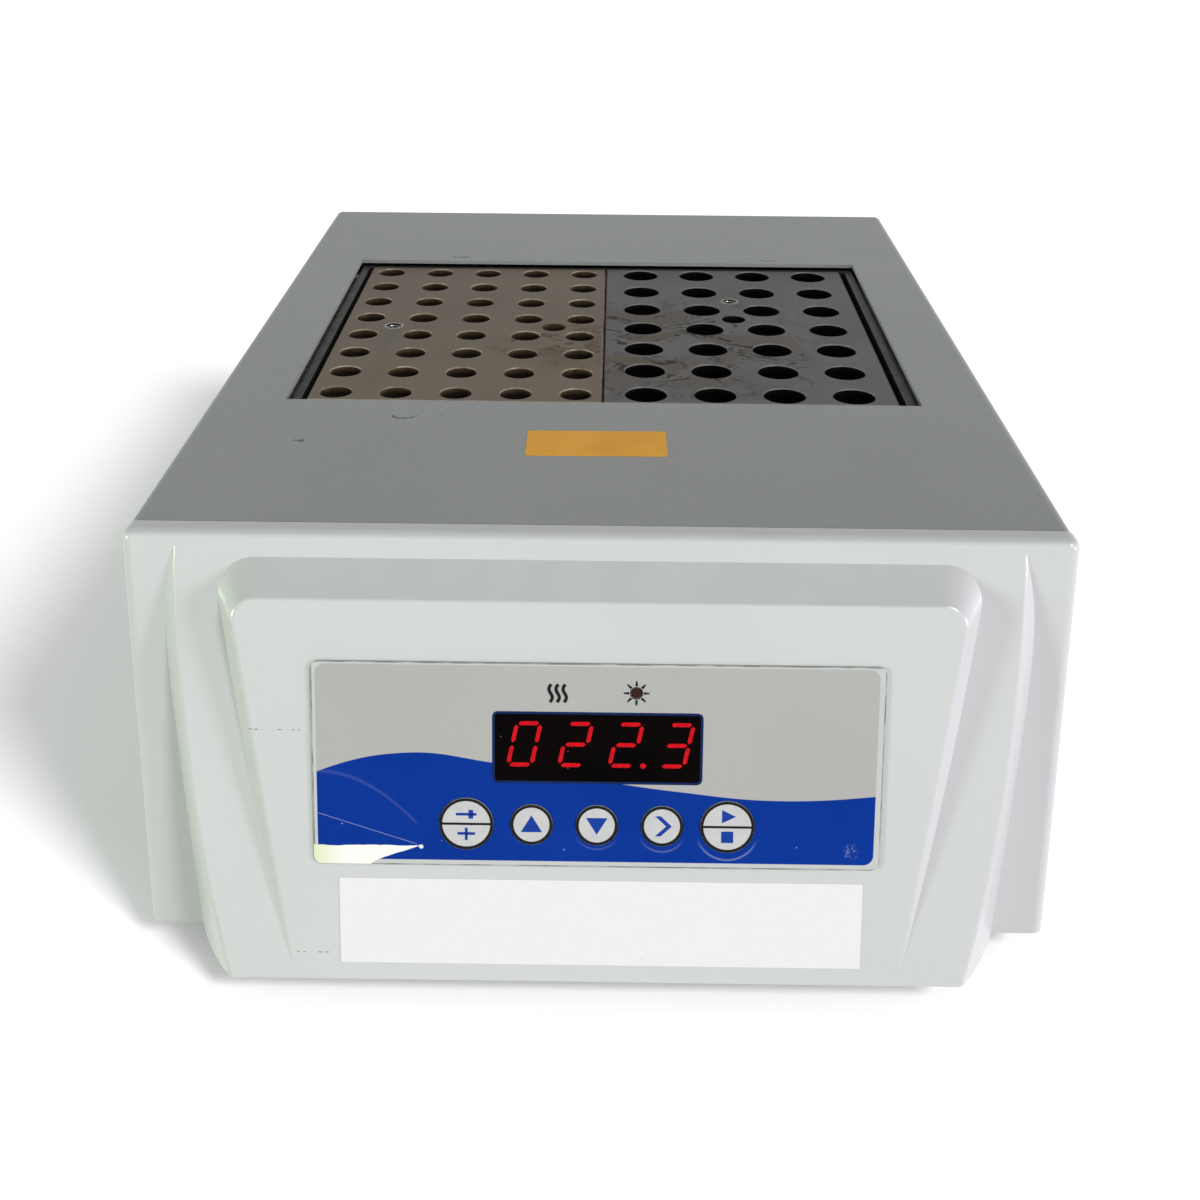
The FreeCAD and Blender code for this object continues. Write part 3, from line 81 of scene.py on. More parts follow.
def times(tree, one, other):
    return calculate(tree, "MULTIPLY", one, other)


def vectors(tree, operation, *values):
    """One sum on vectors, with all its outputs."""
    return add_node(tree, "ShaderNodeVectorMath", dict(enumerate(values)), operation=operation).outputs


def stretched(tree, where, x, y, z):
    return vectors(tree, "MULTIPLY", where, (x, y, z))[0]


def spread(tree, value, low, high, start=0.0, end=1.0):
    """Takes low to high over into start to end, and holds the ends."""
    sockets = {"Value": value, "From Min": low, "From Max": high, "To Min": start, "To Max": end}
    return add_node(tree, "ShaderNodeMapRange", sockets).outputs[0]


def lumps(tree, where, size, detail=2.0, warp=0.0):
    """Soft lumps about as many metres across as size says."""
    sockets = {"Vector": where, "Scale": 1 / size, "Detail": detail, "Distortion": warp}
    return add_node(tree, "ShaderNodeTexNoise", sockets).outputs["Fac"]


def tint(tree, share, one, other):
    """One colour where the share is 0, and the other where it is 1."""
    first, second = [(*colour, 1) if isinstance(colour, tuple) else colour for colour in (one, other)]
    return add_node(tree, "ShaderNodeMix", {0: share, 6: first, 7: second}, data_type="RGBA").outputs[2]


def start_finish(name, rough=0.5, metal=0.0, shine=0.5):
    """A new material with its shader, and the place on the object in metres."""
    finish = bpy.data.materials.new(name)
    finish.use_nodes = True
    tree = finish.node_tree
    shader = tree.nodes["Principled BSDF"]
    feed(tree, shader, "Roughness", rough)
    feed(tree, shader, "Metallic", metal)
    feed(tree, shader, "Specular IOR Level", shine)
    return finish, tree, shader, add_node(tree, "ShaderNodeTexCoord").outputs["Object"]


def raise_grain(tree, shader, height, depth):
    """Relief of the given depth in metres."""
    bump = add_node(tree, "ShaderNodeBump", {"Height": height, "Distance": depth, "Strength": 1.0})
    feed(tree, shader, "Normal", bump.outputs[0])


def mottled_finish(name, light, dark, rough, patch, grain, depth, metal=0.0, along=(1, 1, 1), shine=0.5):
    """Two near colours in soft patches, a fine grain in relief and a roughness that follows it."""
    finish, tree, shader, where = start_finish(name, rough, metal, shine)
    patches = spread(tree, lumps(tree, where, patch, 4.0), 0.35, 0.65)
    feed(tree, shader, "Base Color", tint(tree, patches, light, dark))
    fine = lumps(tree, stretched(tree, where, *along), grain, 3.0)
    feed(tree, shader, "Roughness", spread(tree, fine, 0.3, 0.7, rough - 0.06, rough + 0.08))
    raise_grain(tree, shader, fine, depth)
    return finish


def dress(finish, *names):
    """Puts a finish on whole nodes of the frame."""
    for name in names:
        for slot in frame["nodes"][name].material_slots:
            slot.material = finish


zinc, tree, shader, where = start_finish("zinc_sheet", rough=0.42, metal=0.75)
crystals = add_node(tree, "ShaderNodeTexVoronoi", {
    "Vector": where, "Scale": 1 / CRYSTAL, "Randomness": 1.0})
shade = add_node(tree, "ShaderNodeSeparateColor", {"Color": crystals.outputs["Color"]}).outputs[0]
mottle = lumps(tree, where, CRYSTAL_GRAIN, 4.0)
shade = calculate(tree, "ADD", times(tree, shade, 0.6), times(tree, mottle, 0.4))
colour = tint(tree, shade, ZINC_DARK, ZINC_LIGHT)
rolled = lumps(tree, stretched(tree, where, 0.03, 1, 1), ROLLED_LINE, 3.0)
colour = tint(tree, spread(tree, rolled, 0.60, 0.80, 0.0, 0.35), colour, ZINC_STREAK)
feed(tree, shader, "Base Color", colour)
feed(tree, shader, "Roughness", spread(tree, shade, 0.2, 0.8, 0.36, 0.48))
raise_grain(tree, shader, rolled, ROLLED_DEPTH)
dress(zinc, "chassis", "heater_clamp")


# Four round feet carry the case. They are moulded in black rubber with a dusty bloom,
# and each is held by one screw that is sunk in its foot.
rubber = mottled_finish("foot_rubber", light=(0.032, 0.032, 0.033), dark=(0.021, 0.021, 0.022), rough=0.72,
                        patch=4 * MM, grain=0.4 * MM, depth=0.05 * MM)
dress(rubber, "rubber_feet")


# Screws, posts and spacers are zinc-plated steel with a bright turned surface.
# They hold the feet, the tray, the boards and the bezel, and most of them are out of sight.
# The temperature probe has a sleeve of the same steel.
plated = mottled_finish("screw_steel", light=(0.58, 0.58, 0.57), dark=(0.47, 0.47, 0.47), rough=0.3,
                        patch=3 * MM, grain=0.25 * MM, depth=0.02 * MM, metal=1.0)
dress(plated, "foot_screws", "standoff_screws", "bezel_screws", "board_screws", "tray_standoffs",
      "control_posts", "sensor_probe")


# Under the tray lie a red-brown silicone heater pad and a slab of pressed mineral wool,
# and a jacket of the same wool goes round the tray. The cut-out in the slab is a plated can,
# with the same nickel on it as on the inlet's pins and the earth stud.
silicone = mottled_finish("heater_silicone", light=(0.46, 0.13, 0.07), dark=(0.38, 0.10, 0.05), rough=0.6,
                          patch=12 * MM, grain=0.8 * MM, depth=0.06 * MM)
dress(silicone, "heater_pad")
wool = mottled_finish("wool", light=(0.76, 0.73, 0.65), dark=(0.62, 0.58, 0.48), rough=0.95,
                      patch=3 * MM, grain=0.7 * MM, depth=0.5 * MM, along=(1, 0.25, 1))
dress(wool, "insulation_slab", "insulation_jacket")
nickel = mottled_finish("pin_metal", light=(0.66, 0.64, 0.57), dark=(0.56, 0.54, 0.47), rough=0.28,
                        patch=2 * MM, grain=0.2 * MM, depth=0.01 * MM, metal=1.0)
dress(nickel, "thermal_cutout", "inlet_pins", "earth_stud")


# Two circuit boards of green laminate carry the works. Their parts are black mouldings,
# and a grey flat cable goes from one board to the other.
CELL_SCALE, TRACK_WIDTH = 90.0, 0.012
BOARD_LIGHT, BOARD_DARK, TRACK_GREEN = (0.05, 0.17, 0.08, 1), (0.045, 0.15, 0.07, 1), (0.09, 0.26, 0.13, 1)
laminate, tree, shader, where = start_finish("board_green", rough=0.35)
cells = add_node(tree, "ShaderNodeTexBrick", {
    "Vector": where, "Scale": CELL_SCALE, "Mortar Size": TRACK_WIDTH,
    "Color1": BOARD_LIGHT, "Color2": BOARD_DARK, "Mortar": TRACK_GREEN})
feed(tree, shader, "Base Color", cells.outputs["Color"])
raise_grain(tree, shader, lumps(tree, where, 0.5 * MM), depth=0.03 * MM)
dress(laminate, "display_board", "control_board")
moulded_black = mottled_finish("component_black", light=(0.034, 0.034, 0.036), dark=(0.026, 0.026, 0.028),
                               rough=0.5, patch=4 * MM, grain=0.3 * MM, depth=0.03 * MM)
dress(moulded_black, "display_module", "key_switches", "control_components", "triac")
flat_cable = mottled_finish("ribbon_grey", light=(0.47, 0.47, 0.48), dark=(0.40, 0.40, 0.41), rough=0.45,
                            patch=1.3 * MM, grain=0.6 * MM, depth=0.1 * MM, along=(1, 0.02, 0.02))
dress(flat_cable, "display_ribbon")


# The transformer has a stack of varnished steel laminations round a taped winding.
# The heat sink beside it is plain extruded aluminium with die lines.
core_steel = mottled_finish("lamination", light=(0.22, 0.22, 0.23), dark=(0.14, 0.14, 0.15), rough=0.45,
                            patch=5 * MM, grain=0.5 * MM, depth=0.08 * MM, metal=0.8, along=(0.02, 1, 0.02))
dress(core_steel, "transformer_core")
tape = mottled_finish("coil_tape", light=(0.62, 0.50, 0.14), dark=(0.54, 0.42, 0.10), rough=0.5,
                      patch=4 * MM, grain=2 * MM, depth=0.15 * MM, along=(0.1, 1, 0.1))
dress(tape, "transformer_coil")
extruded = mottled_finish("sink_aluminium", light=(0.66, 0.67, 0.68), dark=(0.58, 0.59, 0.60), rough=0.35,
                          patch=8 * MM, grain=0.4 * MM, depth=0.03 * MM, metal=1.0, along=(1, 1, 0.05))
dress(extruded, "heat_sink")


# The inlet, its fuse drawer and the rocker switch are black mouldings snapped into the rear wall.
# Their faces have a fine spark-eroded grain. The fuse is a clear glass tube with a faint haze.
GLASS_CLEAR, GLASS_HAZY = (0.86, 0.90, 0.90), (0.72, 0.74, 0.72)
inlet_black = mottled_finish("inlet_plastic", light=(0.030, 0.030, 0.032), dark=(0.022, 0.022, 0.024),
                             rough=0.42, patch=5 * MM, grain=0.25 * MM, depth=0.04 * MM)
dress(inlet_black, "power_inlet", "fuse_drawer", "switch_body")
rocker_black = mottled_finish("rocker_gloss", light=(0.026, 0.026, 0.027), dark=(0.020, 0.020, 0.021),
                              rough=0.22, patch=6 * MM, grain=0.5 * MM, depth=0.01 * MM)
dress(rocker_black, "power_rocker")
glass, tree, shader, where = start_finish("fuse_glass", rough=0.06)
feed(tree, shader, "Transmission Weight", 0.9)
haze = spread(tree, lumps(tree, where, 2 * MM), 0.4, 0.7, 0.03, 0.2)
feed(tree, shader, "Roughness", haze)
feed(tree, shader, "Base Color", tint(tree, haze, GLASS_CLEAR, GLASS_HAZY))
dress(glass, "fuse")


# The heater tray is milled from one plate of black anodised aluminium.
# Only its rim shows, as a dark frame round the blocks with rubbed edges.
TRAY_BLACK, TRAY_WORN, TRAY_GLINT = (0.030, 0.031, 0.030), (0.046, 0.046, 0.044), (0.6, 0.6, 0.6, 1)
anodised, tree, shader, where = start_finish("tray_aluminium", rough=0.4, metal=0.6, shine=0.2)
feed(tree, shader, "Specular Tint", TRAY_GLINT)
rubbed = add_node(tree, "ShaderNodeNewGeometry").outputs["Pointiness"]
edge_wear = times(tree, spread(tree, rubbed, 0.5, 0.56),
                  spread(tree, lumps(tree, where, 3 * MM, 4.0), 0.45, 0.6))
feed(tree, shader, "Base Color", tint(tree, edge_wear, TRAY_BLACK, TRAY_WORN))
milling = lumps(tree, stretched(tree, where, 1, 0.06, 1), 0.4 * MM, 3.0)
feed(tree, shader, "Roughness", spread(tree, milling, 0.3, 0.7, 0.34, 0.5))
raise_grain(tree, shader, milling, depth=0.02 * MM)
dress(anodised, "heater_tray")


# The left block is aluminium anodised bronze-brown, with 40 small wells drilled from above.
# Its top is satin from the mill, with a stain by the right edge and a drip below the threaded bush.
BLOCK_GLINT, MILL_LINE, MILL_DEPTH = (0.55, 0.55, 0.55, 1), 0.35 * MM, 0.003 * MM
SIDE_INSET, LIT_FROM, LIT_TO = 0.5 * MM, 0.5 * MM, 1.9 * MM
BRONZE_STAIN, BRONZE_TIDE, BRONZE_DRIP = (0.100, 0.070, 0.046), (0.050, 0.030, 0.018), (0.105, 0.108, 0.092)


def upward(tree):
    """How much a face looks up: 1 on a level top and 0 on an upright side."""
    normal = add_node(tree, "ShaderNodeTexCoord").outputs["Normal"]
    return add_node(tree, "ShaderNodeSeparateXYZ", {"Vector": normal}).outputs["Z"]


def inside_box(tree, place, low, high, inset):
    """1 within a box as seen from above, drawn in all round by the inset."""
    middle, half = (low + high) / 2, (high - low) / 2
    return times(tree, calculate(tree, "COMPARE", place["X"], middle.x, half.x - inset),
                 calculate(tree, "COMPARE", place["Y"], middle.y, half.y - inset))


def near(tree, where, x, y, across, along, soft):
    """A soft oval spot on a level face, 1 in the middle and 0 outside."""
    moved = vectors(tree, "SUBTRACT", where, (x, y, 0))[0]
    level = stretched(tree, moved, 1 / across, 1 / along, 0)
    return spread(tree, vectors(tree, "LENGTH", level)["Value"], 1.0, 1.0 - soft)


def milled_metal(name, light, dark, rough, bore_lit, bore_streak_and_shade, rim_highlight, low, high):
    """Anodised metal, milled from front to rear on top and drilled in its wells, ready to be stained. Its
    well walls get painted light near the top and painted shade deeper down, and its well rims a painted
    highlight.
    """
    finish, tree, shader, where = start_finish(name, rough, metal=1.0, shine=0.1)
    feed(tree, shader, "Specular Tint", BLOCK_GLINT)
    slope = upward(tree)
    place = add_node(tree, "ShaderNodeSeparateXYZ", {"Vector": where}).outputs
    patches = spread(tree, lumps(tree, where, 22 * MM, 5.0), 0.35, 0.65)
    colour = tint(tree, patches, light, dark)
    lines = lumps(tree, stretched(tree, where, 1, 0.02, 1), MILL_LINE, 3.0)
    colour = tint(tree, spread(tree, lines, 0.55, 0.75, 0.0, 0.12), colour, light)
    raise_grain(tree, shader, lines, MILL_DEPTH)
    # Painted light on the well walls just below the top, painted shade deeper down, with darker streaks
    # between.
    streaks = lumps(tree, stretched(tree, where, 1, 1, 0.3), 2.2 * MM, 3.0)
    drilled = tint(tree, spread(tree, streaks, 0.35, 0.75, 0.0, 0.7), bore_lit, bore_streak_and_shade)
    lit_part = spread(tree, place["Z"], high.z - LIT_TO, high.z - LIT_FROM)
    drilled = tint(tree, lit_part, bore_streak_and_shade, drilled)
    # Painted highlight on the sloping rims of the wells, in patches.
    rim = times(tree, spread(tree, slope, 0.5, 0.65), spread(tree, slope, 0.92, 0.8))
    rim = times(tree, rim, spread(tree, lumps(tree, where, 4 * MM), 0.38, 0.62, 0.1, 1.0))
    colour = tint(tree, rim, colour, rim_highlight)
    upright = times(tree, spread(tree, slope, 0.55, 0.3), inside_box(tree, place, low, high, SIDE_INSET))
    colour = tint(tree, upright, colour, drilled)
    feed(tree, shader, "Metallic", spread(tree, upright, 0.0, 1.0, 1.0, 0.35))
    satin = spread(tree, lines, 0.3, 0.7, rough - 0.04, rough + 0.05)
    feed(tree, shader, "Roughness", calculate(tree, "MAXIMUM", satin, times(tree, upright, 0.5)))
    return finish, tree, shader, where, colour, spread(tree, slope, 0.9, 0.97)


def gap(tree, one, other):
    """How far two values lie apart."""
    return calculate(tree, "ABSOLUTE", calculate(tree, "SUBTRACT", one, other))


def strongest(tree, masks):
    """The highest of several masks."""
    highest = masks[0]
    for mask in masks[1:]:
        highest = calculate(tree, "MAXIMUM", highest, mask)
    return highest


def tide_lines(tree, where, swirl, levels, width):
    """Thin broken lines, like the edges of dried puddles, where the swirl passes the given levels."""
    lines = strongest(tree, [spread(tree, gap(tree, swirl, level), width, 0.3 * width) for level in levels])
    return times(tree, lines, spread(tree, lumps(tree, where, 7 * MM, 3.0), 0.42, 0.60, 0.05, 1.0))


left_low, left_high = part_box("block_left")
bush_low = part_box("block_left_insert")[0]
bronze, tree, shader, where, colour, level = milled_metal(
    "block_bronze", light=(0.160, 0.134, 0.104), dark=(0.146, 0.121, 0.094), rough=0.36,
    bore_lit=(0.140, 0.095, 0.050), bore_streak_and_shade=(0.018, 0.014, 0.012), rim_highlight=(0.300, 0.250, 0.190),
    low=left_low, high=left_high)
stain_x, stain_y = left_high.x - 9 * MM, (left_low.y + left_high.y) / 2 - 16 * MM
stain = times(tree, near(tree, where, stain_x, stain_y, across=26 * MM, along=22 * MM, soft=0.8), level)
swirl = lumps(tree, where, 13 * MM, 3.0, warp=0.9)
pool = times(tree, spread(tree, swirl, 0.46, 0.56), stain)
colour = tint(tree, times(tree, pool, 0.8), colour, BRONZE_STAIN)
edges = times(tree, tide_lines(tree, where, swirl, levels=(0.44, 0.53), width=0.030),
              spread(tree, stain, 0.0, 0.5))
colour = tint(tree, times(tree, edges, 0.9), colour, BRONZE_TIDE)
drip_x, drip_y = bush_low.x + 3 * MM, bush_low.y - 11 * MM
drip = near(tree, where, drip_x, drip_y, across=3.8 * MM, along=16 * MM, soft=0.7)
drip = times(tree, drip, spread(tree, lumps(tree, where, 4 * MM, 4.0), 0.30, 0.60))
colour = tint(tree, times(tree, times(tree, drip, level), 0.75), colour, BRONZE_DRIP)
feed(tree, shader, "Base Color", colour)
dress(bronze, "block_left")


# The right block is black anodised aluminium with 28 large wells.
# Spilt liquid has dried on it in brown tide marks, mostly on its left half.
BLACK_STAIN, BLACK_TIDE = (0.098, 0.078, 0.056), (0.026, 0.019, 0.012)
right_low, right_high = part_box("block_right")
black, tree, shader, where, colour, level = milled_metal(
    "block_black", light=(0.130, 0.129, 0.128), dark=(0.114, 0.113, 0.112), rough=0.38,
    bore_lit=(0.008, 0.008, 0.008), bore_streak_and_shade=(0.002, 0.002, 0.002), rim_highlight=(0.160, 0.157, 0.150),
    low=right_low, high=right_high)
spill_x, spill_y = right_low.x + 18 * MM, (right_low.y + right_high.y) / 2 - 16 * MM
spill = times(tree, near(tree, where, spill_x, spill_y, across=62 * MM, along=60 * MM, soft=0.8), level)
swirl = lumps(tree, where, 20 * MM, 3.0, warp=0.9)
pool = times(tree, spread(tree, swirl, 0.52, 0.60), spill)
colour = tint(tree, times(tree, pool, 0.85), colour, BLACK_STAIN)
edges = times(tree, tide_lines(tree, where, swirl, levels=(0.44, 0.54), width=0.026),
              spread(tree, spill, 0.1, 0.6))
colour = tint(tree, times(tree, edges, 0.95), colour, BLACK_TIDE)
feed(tree, shader, "Base Color", colour)
dress(black, "block_right")


# Each block has a plated brass bush pressed in for its lifting rod.
# The bush is dull and worn on top. Its thread in the bore shows as rings, with a painted highlight on the
# crests and painted shade in the roots.
THREAD_PITCH, THREAD_DEPTH = 0.8 * MM, 0.2 * MM
BUSH_WORN, BUSH_STAINED = (0.15, 0.145, 0.135), (0.05, 0.048, 0.044)
THREAD_CREST_HIGHLIGHT, THREAD_ROOT_SHADE = (0.36, 0.345, 0.31), (0.03, 0.028, 0.024)
bush, tree, shader, where = start_finish("insert_brass", rough=0.28, metal=1.0)
height = add_node(tree, "ShaderNodeSeparateXYZ", {"Vector": where}).outputs["Z"]
thread = calculate(tree, "PINGPONG", calculate(tree, "DIVIDE", height, THREAD_PITCH), 0.5)
upright = spread(tree, upward(tree), 0.6, 0.3)
# Painted shade in the thread roots and a painted highlight on the crests of the bore walls.
groove = times(tree, spread(tree, thread, 0.5, 0.1), upright)
wear = spread(tree, lumps(tree, where, 1.2 * MM, 3.0), 0.4, 0.6)
crest = tint(tree, upright, tint(tree, wear, BUSH_WORN, BUSH_STAINED), THREAD_CREST_HIGHLIGHT)
feed(tree, shader, "Base Color", tint(tree, groove, crest, THREAD_ROOT_SHADE))
raise_grain(tree, shader, groove, -THREAD_DEPTH)
dress(bush, "block_left_insert", "block_right_insert")


# The top cover is a folded steel sheet, 1.2 mm thick, powder-coated in mid grey with a fine texture.
# It has a few crescent chips in its paint round the opening and dust on top, and painted shade on the
# rounded edge at the opening.
COVER_LIGHT, COVER_DARK, COVER_PIT = (0.262, 0.279, 0.274), (0.246, 0.263, 0.258), (0.19, 0.204, 0.200)
COVER_DUST, CHIP_COLOUR, CUT_EDGE_SHADE = (0.42, 0.42, 0.41), (0.060, 0.062, 0.062), (0.060, 0.068, 0.060)
CHIPS = ((-49.6, 89.8, 3.2), (-50.6, -57.8, 3.6), (54.9, 88.8, 3.0), (-74.1, -75.1, 1.3))
CHIP_SHIFT, CHIP_THICKNESS, WOBBLE_SCALE, WOBBLE = 1.2, 1.0, 500.0, (0.0025, 0.0025, 0)


def specks(tree, where, spacing, radius, share):
    """Small spots, at most one to a cell, kept in the given share of the cells."""
    cells = add_node(tree, "ShaderNodeTexVoronoi", {"Vector": where, "Scale": 1 / spacing})
    close = spread(tree, cells.outputs["Distance"], radius / spacing, 0.6 * radius / spacing)
    pick = add_node(tree, "ShaderNodeSeparateColor", {"Color": cells.outputs["Color"]}).outputs[0]
    return times(tree, close, calculate(tree, "LESS_THAN", pick, share))


cover_low, cover_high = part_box("top_cover")
tray_low, tray_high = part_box("heater_tray")
powder, tree, shader, where = start_finish("cover_paint", rough=0.55)
patches = spread(tree, lumps(tree, where, 45 * MM, 3.0), 0.3, 0.7)
colour = tint(tree, patches, COVER_LIGHT, COVER_DARK)
orange_peel = lumps(tree, where, 0.55 * MM, 2.0)
colour = tint(tree, spread(tree, orange_peel, 0.35, 0.65, 0.0, 0.22), colour, COVER_PIT)
colour = tint(tree, specks(tree, where, spacing=7 * MM, radius=0.28 * MM, share=0.16), colour, COVER_DUST)
noise = add_node(tree, "ShaderNodeTexNoise", {"Vector": where, "Scale": WOBBLE_SCALE}).outputs["Color"]
bent = vectors(tree, "ADD", where, vectors(tree, "MULTIPLY", noise, WOBBLE)[0])[0]
chips = []
for x, y, width in CHIPS:
    chip_x, chip_y = x + CHIP_SHIFT, y + CHIP_SHIFT
    bite, inner = [near(tree, bent, chip_x * MM, low_y * MM, width * MM, 0.75 * width * MM, soft=0.12)
                   for low_y in (chip_y, chip_y + CHIP_THICKNESS)]
    chips.append(calculate(tree, "SUBTRACT", bite, inner))
chipped = spread(tree, strongest(tree, chips), 0.3, 0.7)
colour = tint(tree, chipped, colour, CHIP_COLOUR)
place = add_node(tree, "ShaderNodeSeparateXYZ", {"Vector": where}).outputs
over_tray = inside_box(tree, place, tray_low, tray_high, inset=0.0)
# Painted shade on the rounded edge of the cover round the opening.
cut_edge_shade = times(tree, over_tray, spread(tree, upward(tree), 0.97, 0.75))
colour = tint(tree, cut_edge_shade, colour, CUT_EDGE_SHADE)
feed(tree, shader, "Base Color", colour)
relief = calculate(tree, "SUBTRACT", orange_peel, times(tree, chipped, 2.0))
raise_grain(tree, shader, relief, depth=0.09 * MM)
feed(tree, shader, "Roughness", spread(tree, orange_peel, 0.3, 0.7, 0.48, 0.66))
dress(powder, "top_cover")


# A small amber plate of printed vinyl is stuck on the cover in front of the opening.
# It is a thin oblong with rounded corners, put on by hand a little off square.
PLATE_MIDDLE, PLATE_TURN = Vector((-1.4, -75.2)) * MM, radians(0.45)
PLATE_WIDTH, PLATE_DEPTH, PLATE_CORNER, PLATE_UNDER, PLATE_TOP = 34.2, 15.6, 0.9, 0.01, 0.14
AMBER_LIGHT, AMBER_DARK, AMBER_SPOT = (0.78, 0.385, 0.018), (0.72, 0.34, 0.014), (0.45, 0.22, 0.04)


def rounded_outline(left, right, low, high, radius, steps=6):
    """The corners of an oblong, anticlockwise, with rounded corners."""
    points = []
    for x, y, turn in ((right, low, -90), (right, high, 0), (left, high, 90), (left, low, 180)):
        centre_x = x - radius if x == right else x + radius
        centre_y = y - radius if y == high else y + radius
        for i in range(steps + 1):
            angle = radians(turn + 90 * i / steps)
            points.append((centre_x + radius * cos(angle), centre_y + radius * sin(angle)))
    return points


def add_plate(mesh, outline, spot, low, high):
    """A flat plate with the given outline between two heights over the face that spot describes."""
    under = [mesh.verts.new(spot(x, y, low)) for x, y in outline]
    over = [mesh.verts.new(spot(x, y, high)) for x, y in outline]
    mesh.faces.new(over)
    mesh.faces.new(list(reversed(under)))
    for i in range(len(outline)):
        following = (i + 1) % len(outline)
        mesh.faces.new((under[i], under[following], over[following], over[i]))


def finish_piece(name, mesh, finish, body):
    """Turns a built mesh into a piece of the object that moves with its body."""
    bmesh.ops.recalc_face_normals(mesh, faces=mesh.faces)
    data = bpy.data.meshes.new(name)
    mesh.to_mesh(data)
    mesh.free()
    piece = bpy.data.objects.new(name, data)
    bpy.context.scene.collection.objects.link(piece)
    data.materials.append(finish)
    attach(piece, body)
    return piece


def on_cover(x, y, rise):
    """Millimetres along the plate from its middle, and up from the cover."""
    turned = Matrix.Rotation(PLATE_TURN, 2) @ Vector((x * MM, y * MM))
    return (*(PLATE_MIDDLE + turned), cover_high.z + rise * MM)


mesh = bmesh.new()
half_width, half_depth = PLATE_WIDTH / 2, PLATE_DEPTH / 2
outline = rounded_outline(-half_width, half_width, -half_depth, half_depth, PLATE_CORNER)
add_plate(mesh, outline, on_cover, PLATE_UNDER, PLATE_TOP)
vinyl, tree, shader, where = start_finish("amber_vinyl", rough=0.38, shine=0.1)
fade = spread(tree, lumps(tree, where, 9 * MM, 4.0), 0.35, 0.65)
colour = tint(tree, fade, AMBER_LIGHT, AMBER_DARK)
colour = tint(tree, specks(tree, where, spacing=3 * MM, radius=0.2 * MM, share=0.2), colour, AMBER_SPOT)
feed(tree, shader, "Base Color", colour)
bubbles = lumps(tree, where, 2.2 * MM, 3.0)
feed(tree, shader, "Roughness", spread(tree, bubbles, 0.3, 0.7, 0.3, 0.46))
raise_grain(tree, shader, bubbles, depth=0.05 * MM)
finish_piece("amber_plate", mesh, vinyl, "casing")


# Four pan-head screws hold the cover's sides to the chassis, low down near the corners.
# They are zinc-plated steel, turned with a domed head and pressed with a cross recess.
HEAD_RADIUS, HEAD_HEIGHT, SHANK_RADIUS, SHANK_LENGTH = 3.6, 2.2, 2.0, 6.0
DOME = ((HEAD_RADIUS, 1.1), (3.45, 1.55), (3.1, 1.9), (2.7, 2.1), (2.3, HEAD_HEIGHT))
RECESS_REACH, RECESS_HALF, RECESS_DEPTH, RECESS_TAPER = 2.0, 0.45, 1.3, 0.8


def recess_edge(turn):
    """How far the edge of the cross lies from the screw's axis in one direction."""
    run, rise = max(abs(cos(turn)), 1e-6), max(abs(sin(turn)), 1e-6)
    return max(min(RECESS_REACH / run, RECESS_HALF / rise), min(RECESS_HALF / run, RECESS_REACH / rise))


screws_low, screws_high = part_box("cover_screws")
screw_height = (screws_low.z + screws_high.z) / 2
corner = atan2(RECESS_HALF, RECESS_REACH)
quarter = [0, corner, pi / 8, 3 * pi / 16, pi / 4, 5 * pi / 16, 3 * pi / 8, pi / 2 - corner]
turns = [i * pi / 2 + angle for i in range(4) for angle in quarter]
circles = [(SHANK_RADIUS, -SHANK_LENGTH), (SHANK_RADIUS, 0), (HEAD_RADIUS, 0), *DOME]
outlines = [([radius] * len(turns), rise) for radius, rise in circles]
outlines.append(([recess_edge(turn) for turn in turns], HEAD_HEIGHT))
outlines.append(([RECESS_TAPER * recess_edge(turn) for turn in turns], HEAD_HEIGHT - RECESS_DEPTH))
mesh = bmesh.new()
for side, face_x in ((1, cover_high.x), (-1, cover_low.x)):
    for y in (screws_low.y + HEAD_RADIUS * MM, screws_high.y - HEAD_RADIUS * MM):
        rings = [[mesh.verts.new((face_x + side * rise * MM, y + reach * cos(turn) * MM,
                                  screw_height + reach * sin(turn) * MM))
                  for reach, turn in zip(reaches, turns)] for reaches, rise in outlines]
        mesh.faces.new(rings[0])
        mesh.faces.new(rings[-1])
        for i, (ring, following) in enumerate(zip(rings, rings[1:])):
            for j in range(len(turns)):
                k = (j + 1) % len(turns)
                face = mesh.faces.new((ring[j], ring[k], following[k], following[j]))
                face.smooth = i < len(circles) - 1
screw_set = finish_piece("cover_screw_set", mesh, plated, "casing")
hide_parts("cover_screws")


# The front bezel is one pale grey moulding with a fine grain, screwed to the chassis from inside.
# Its upward-facing ledges carry patchy painted shade, partly dust, and it has specks and a few dark scuffs.
FILM_THICKNESS = 0.5 * MM
BEZEL_LIGHT, BEZEL_DARK, BEZEL_DUST_AND_SHADE = (0.600, 0.624, 0.608), (0.580, 0.604, 0.588), (0.455, 0.475, 0.460)
GREY_SPECK, BROWN_SPECK, SCUFF_COLOUR = (0.36, 0.36, 0.35), (0.48, 0.42, 0.33), (0.15, 0.15, 0.14)
SCUFFS = ((-75.5, -63.0, 30.2), (-66.0, -58.5, -21.0), (86.0, 88.5, -20.0))
SCUFF_HALF = 0.10
inward = Vector(next(joint for joint in frame["joints"] if joint["name"] == "key_set_press")["axis"])
OUT = -inward
UP = Vector((0, OUT.z, -OUT.y))
film_low, film_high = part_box("keypad_overlay")
FILM_FOOT = Vector((0, film_low.y, film_low.z + FILM_THICKNESS * OUT.z))


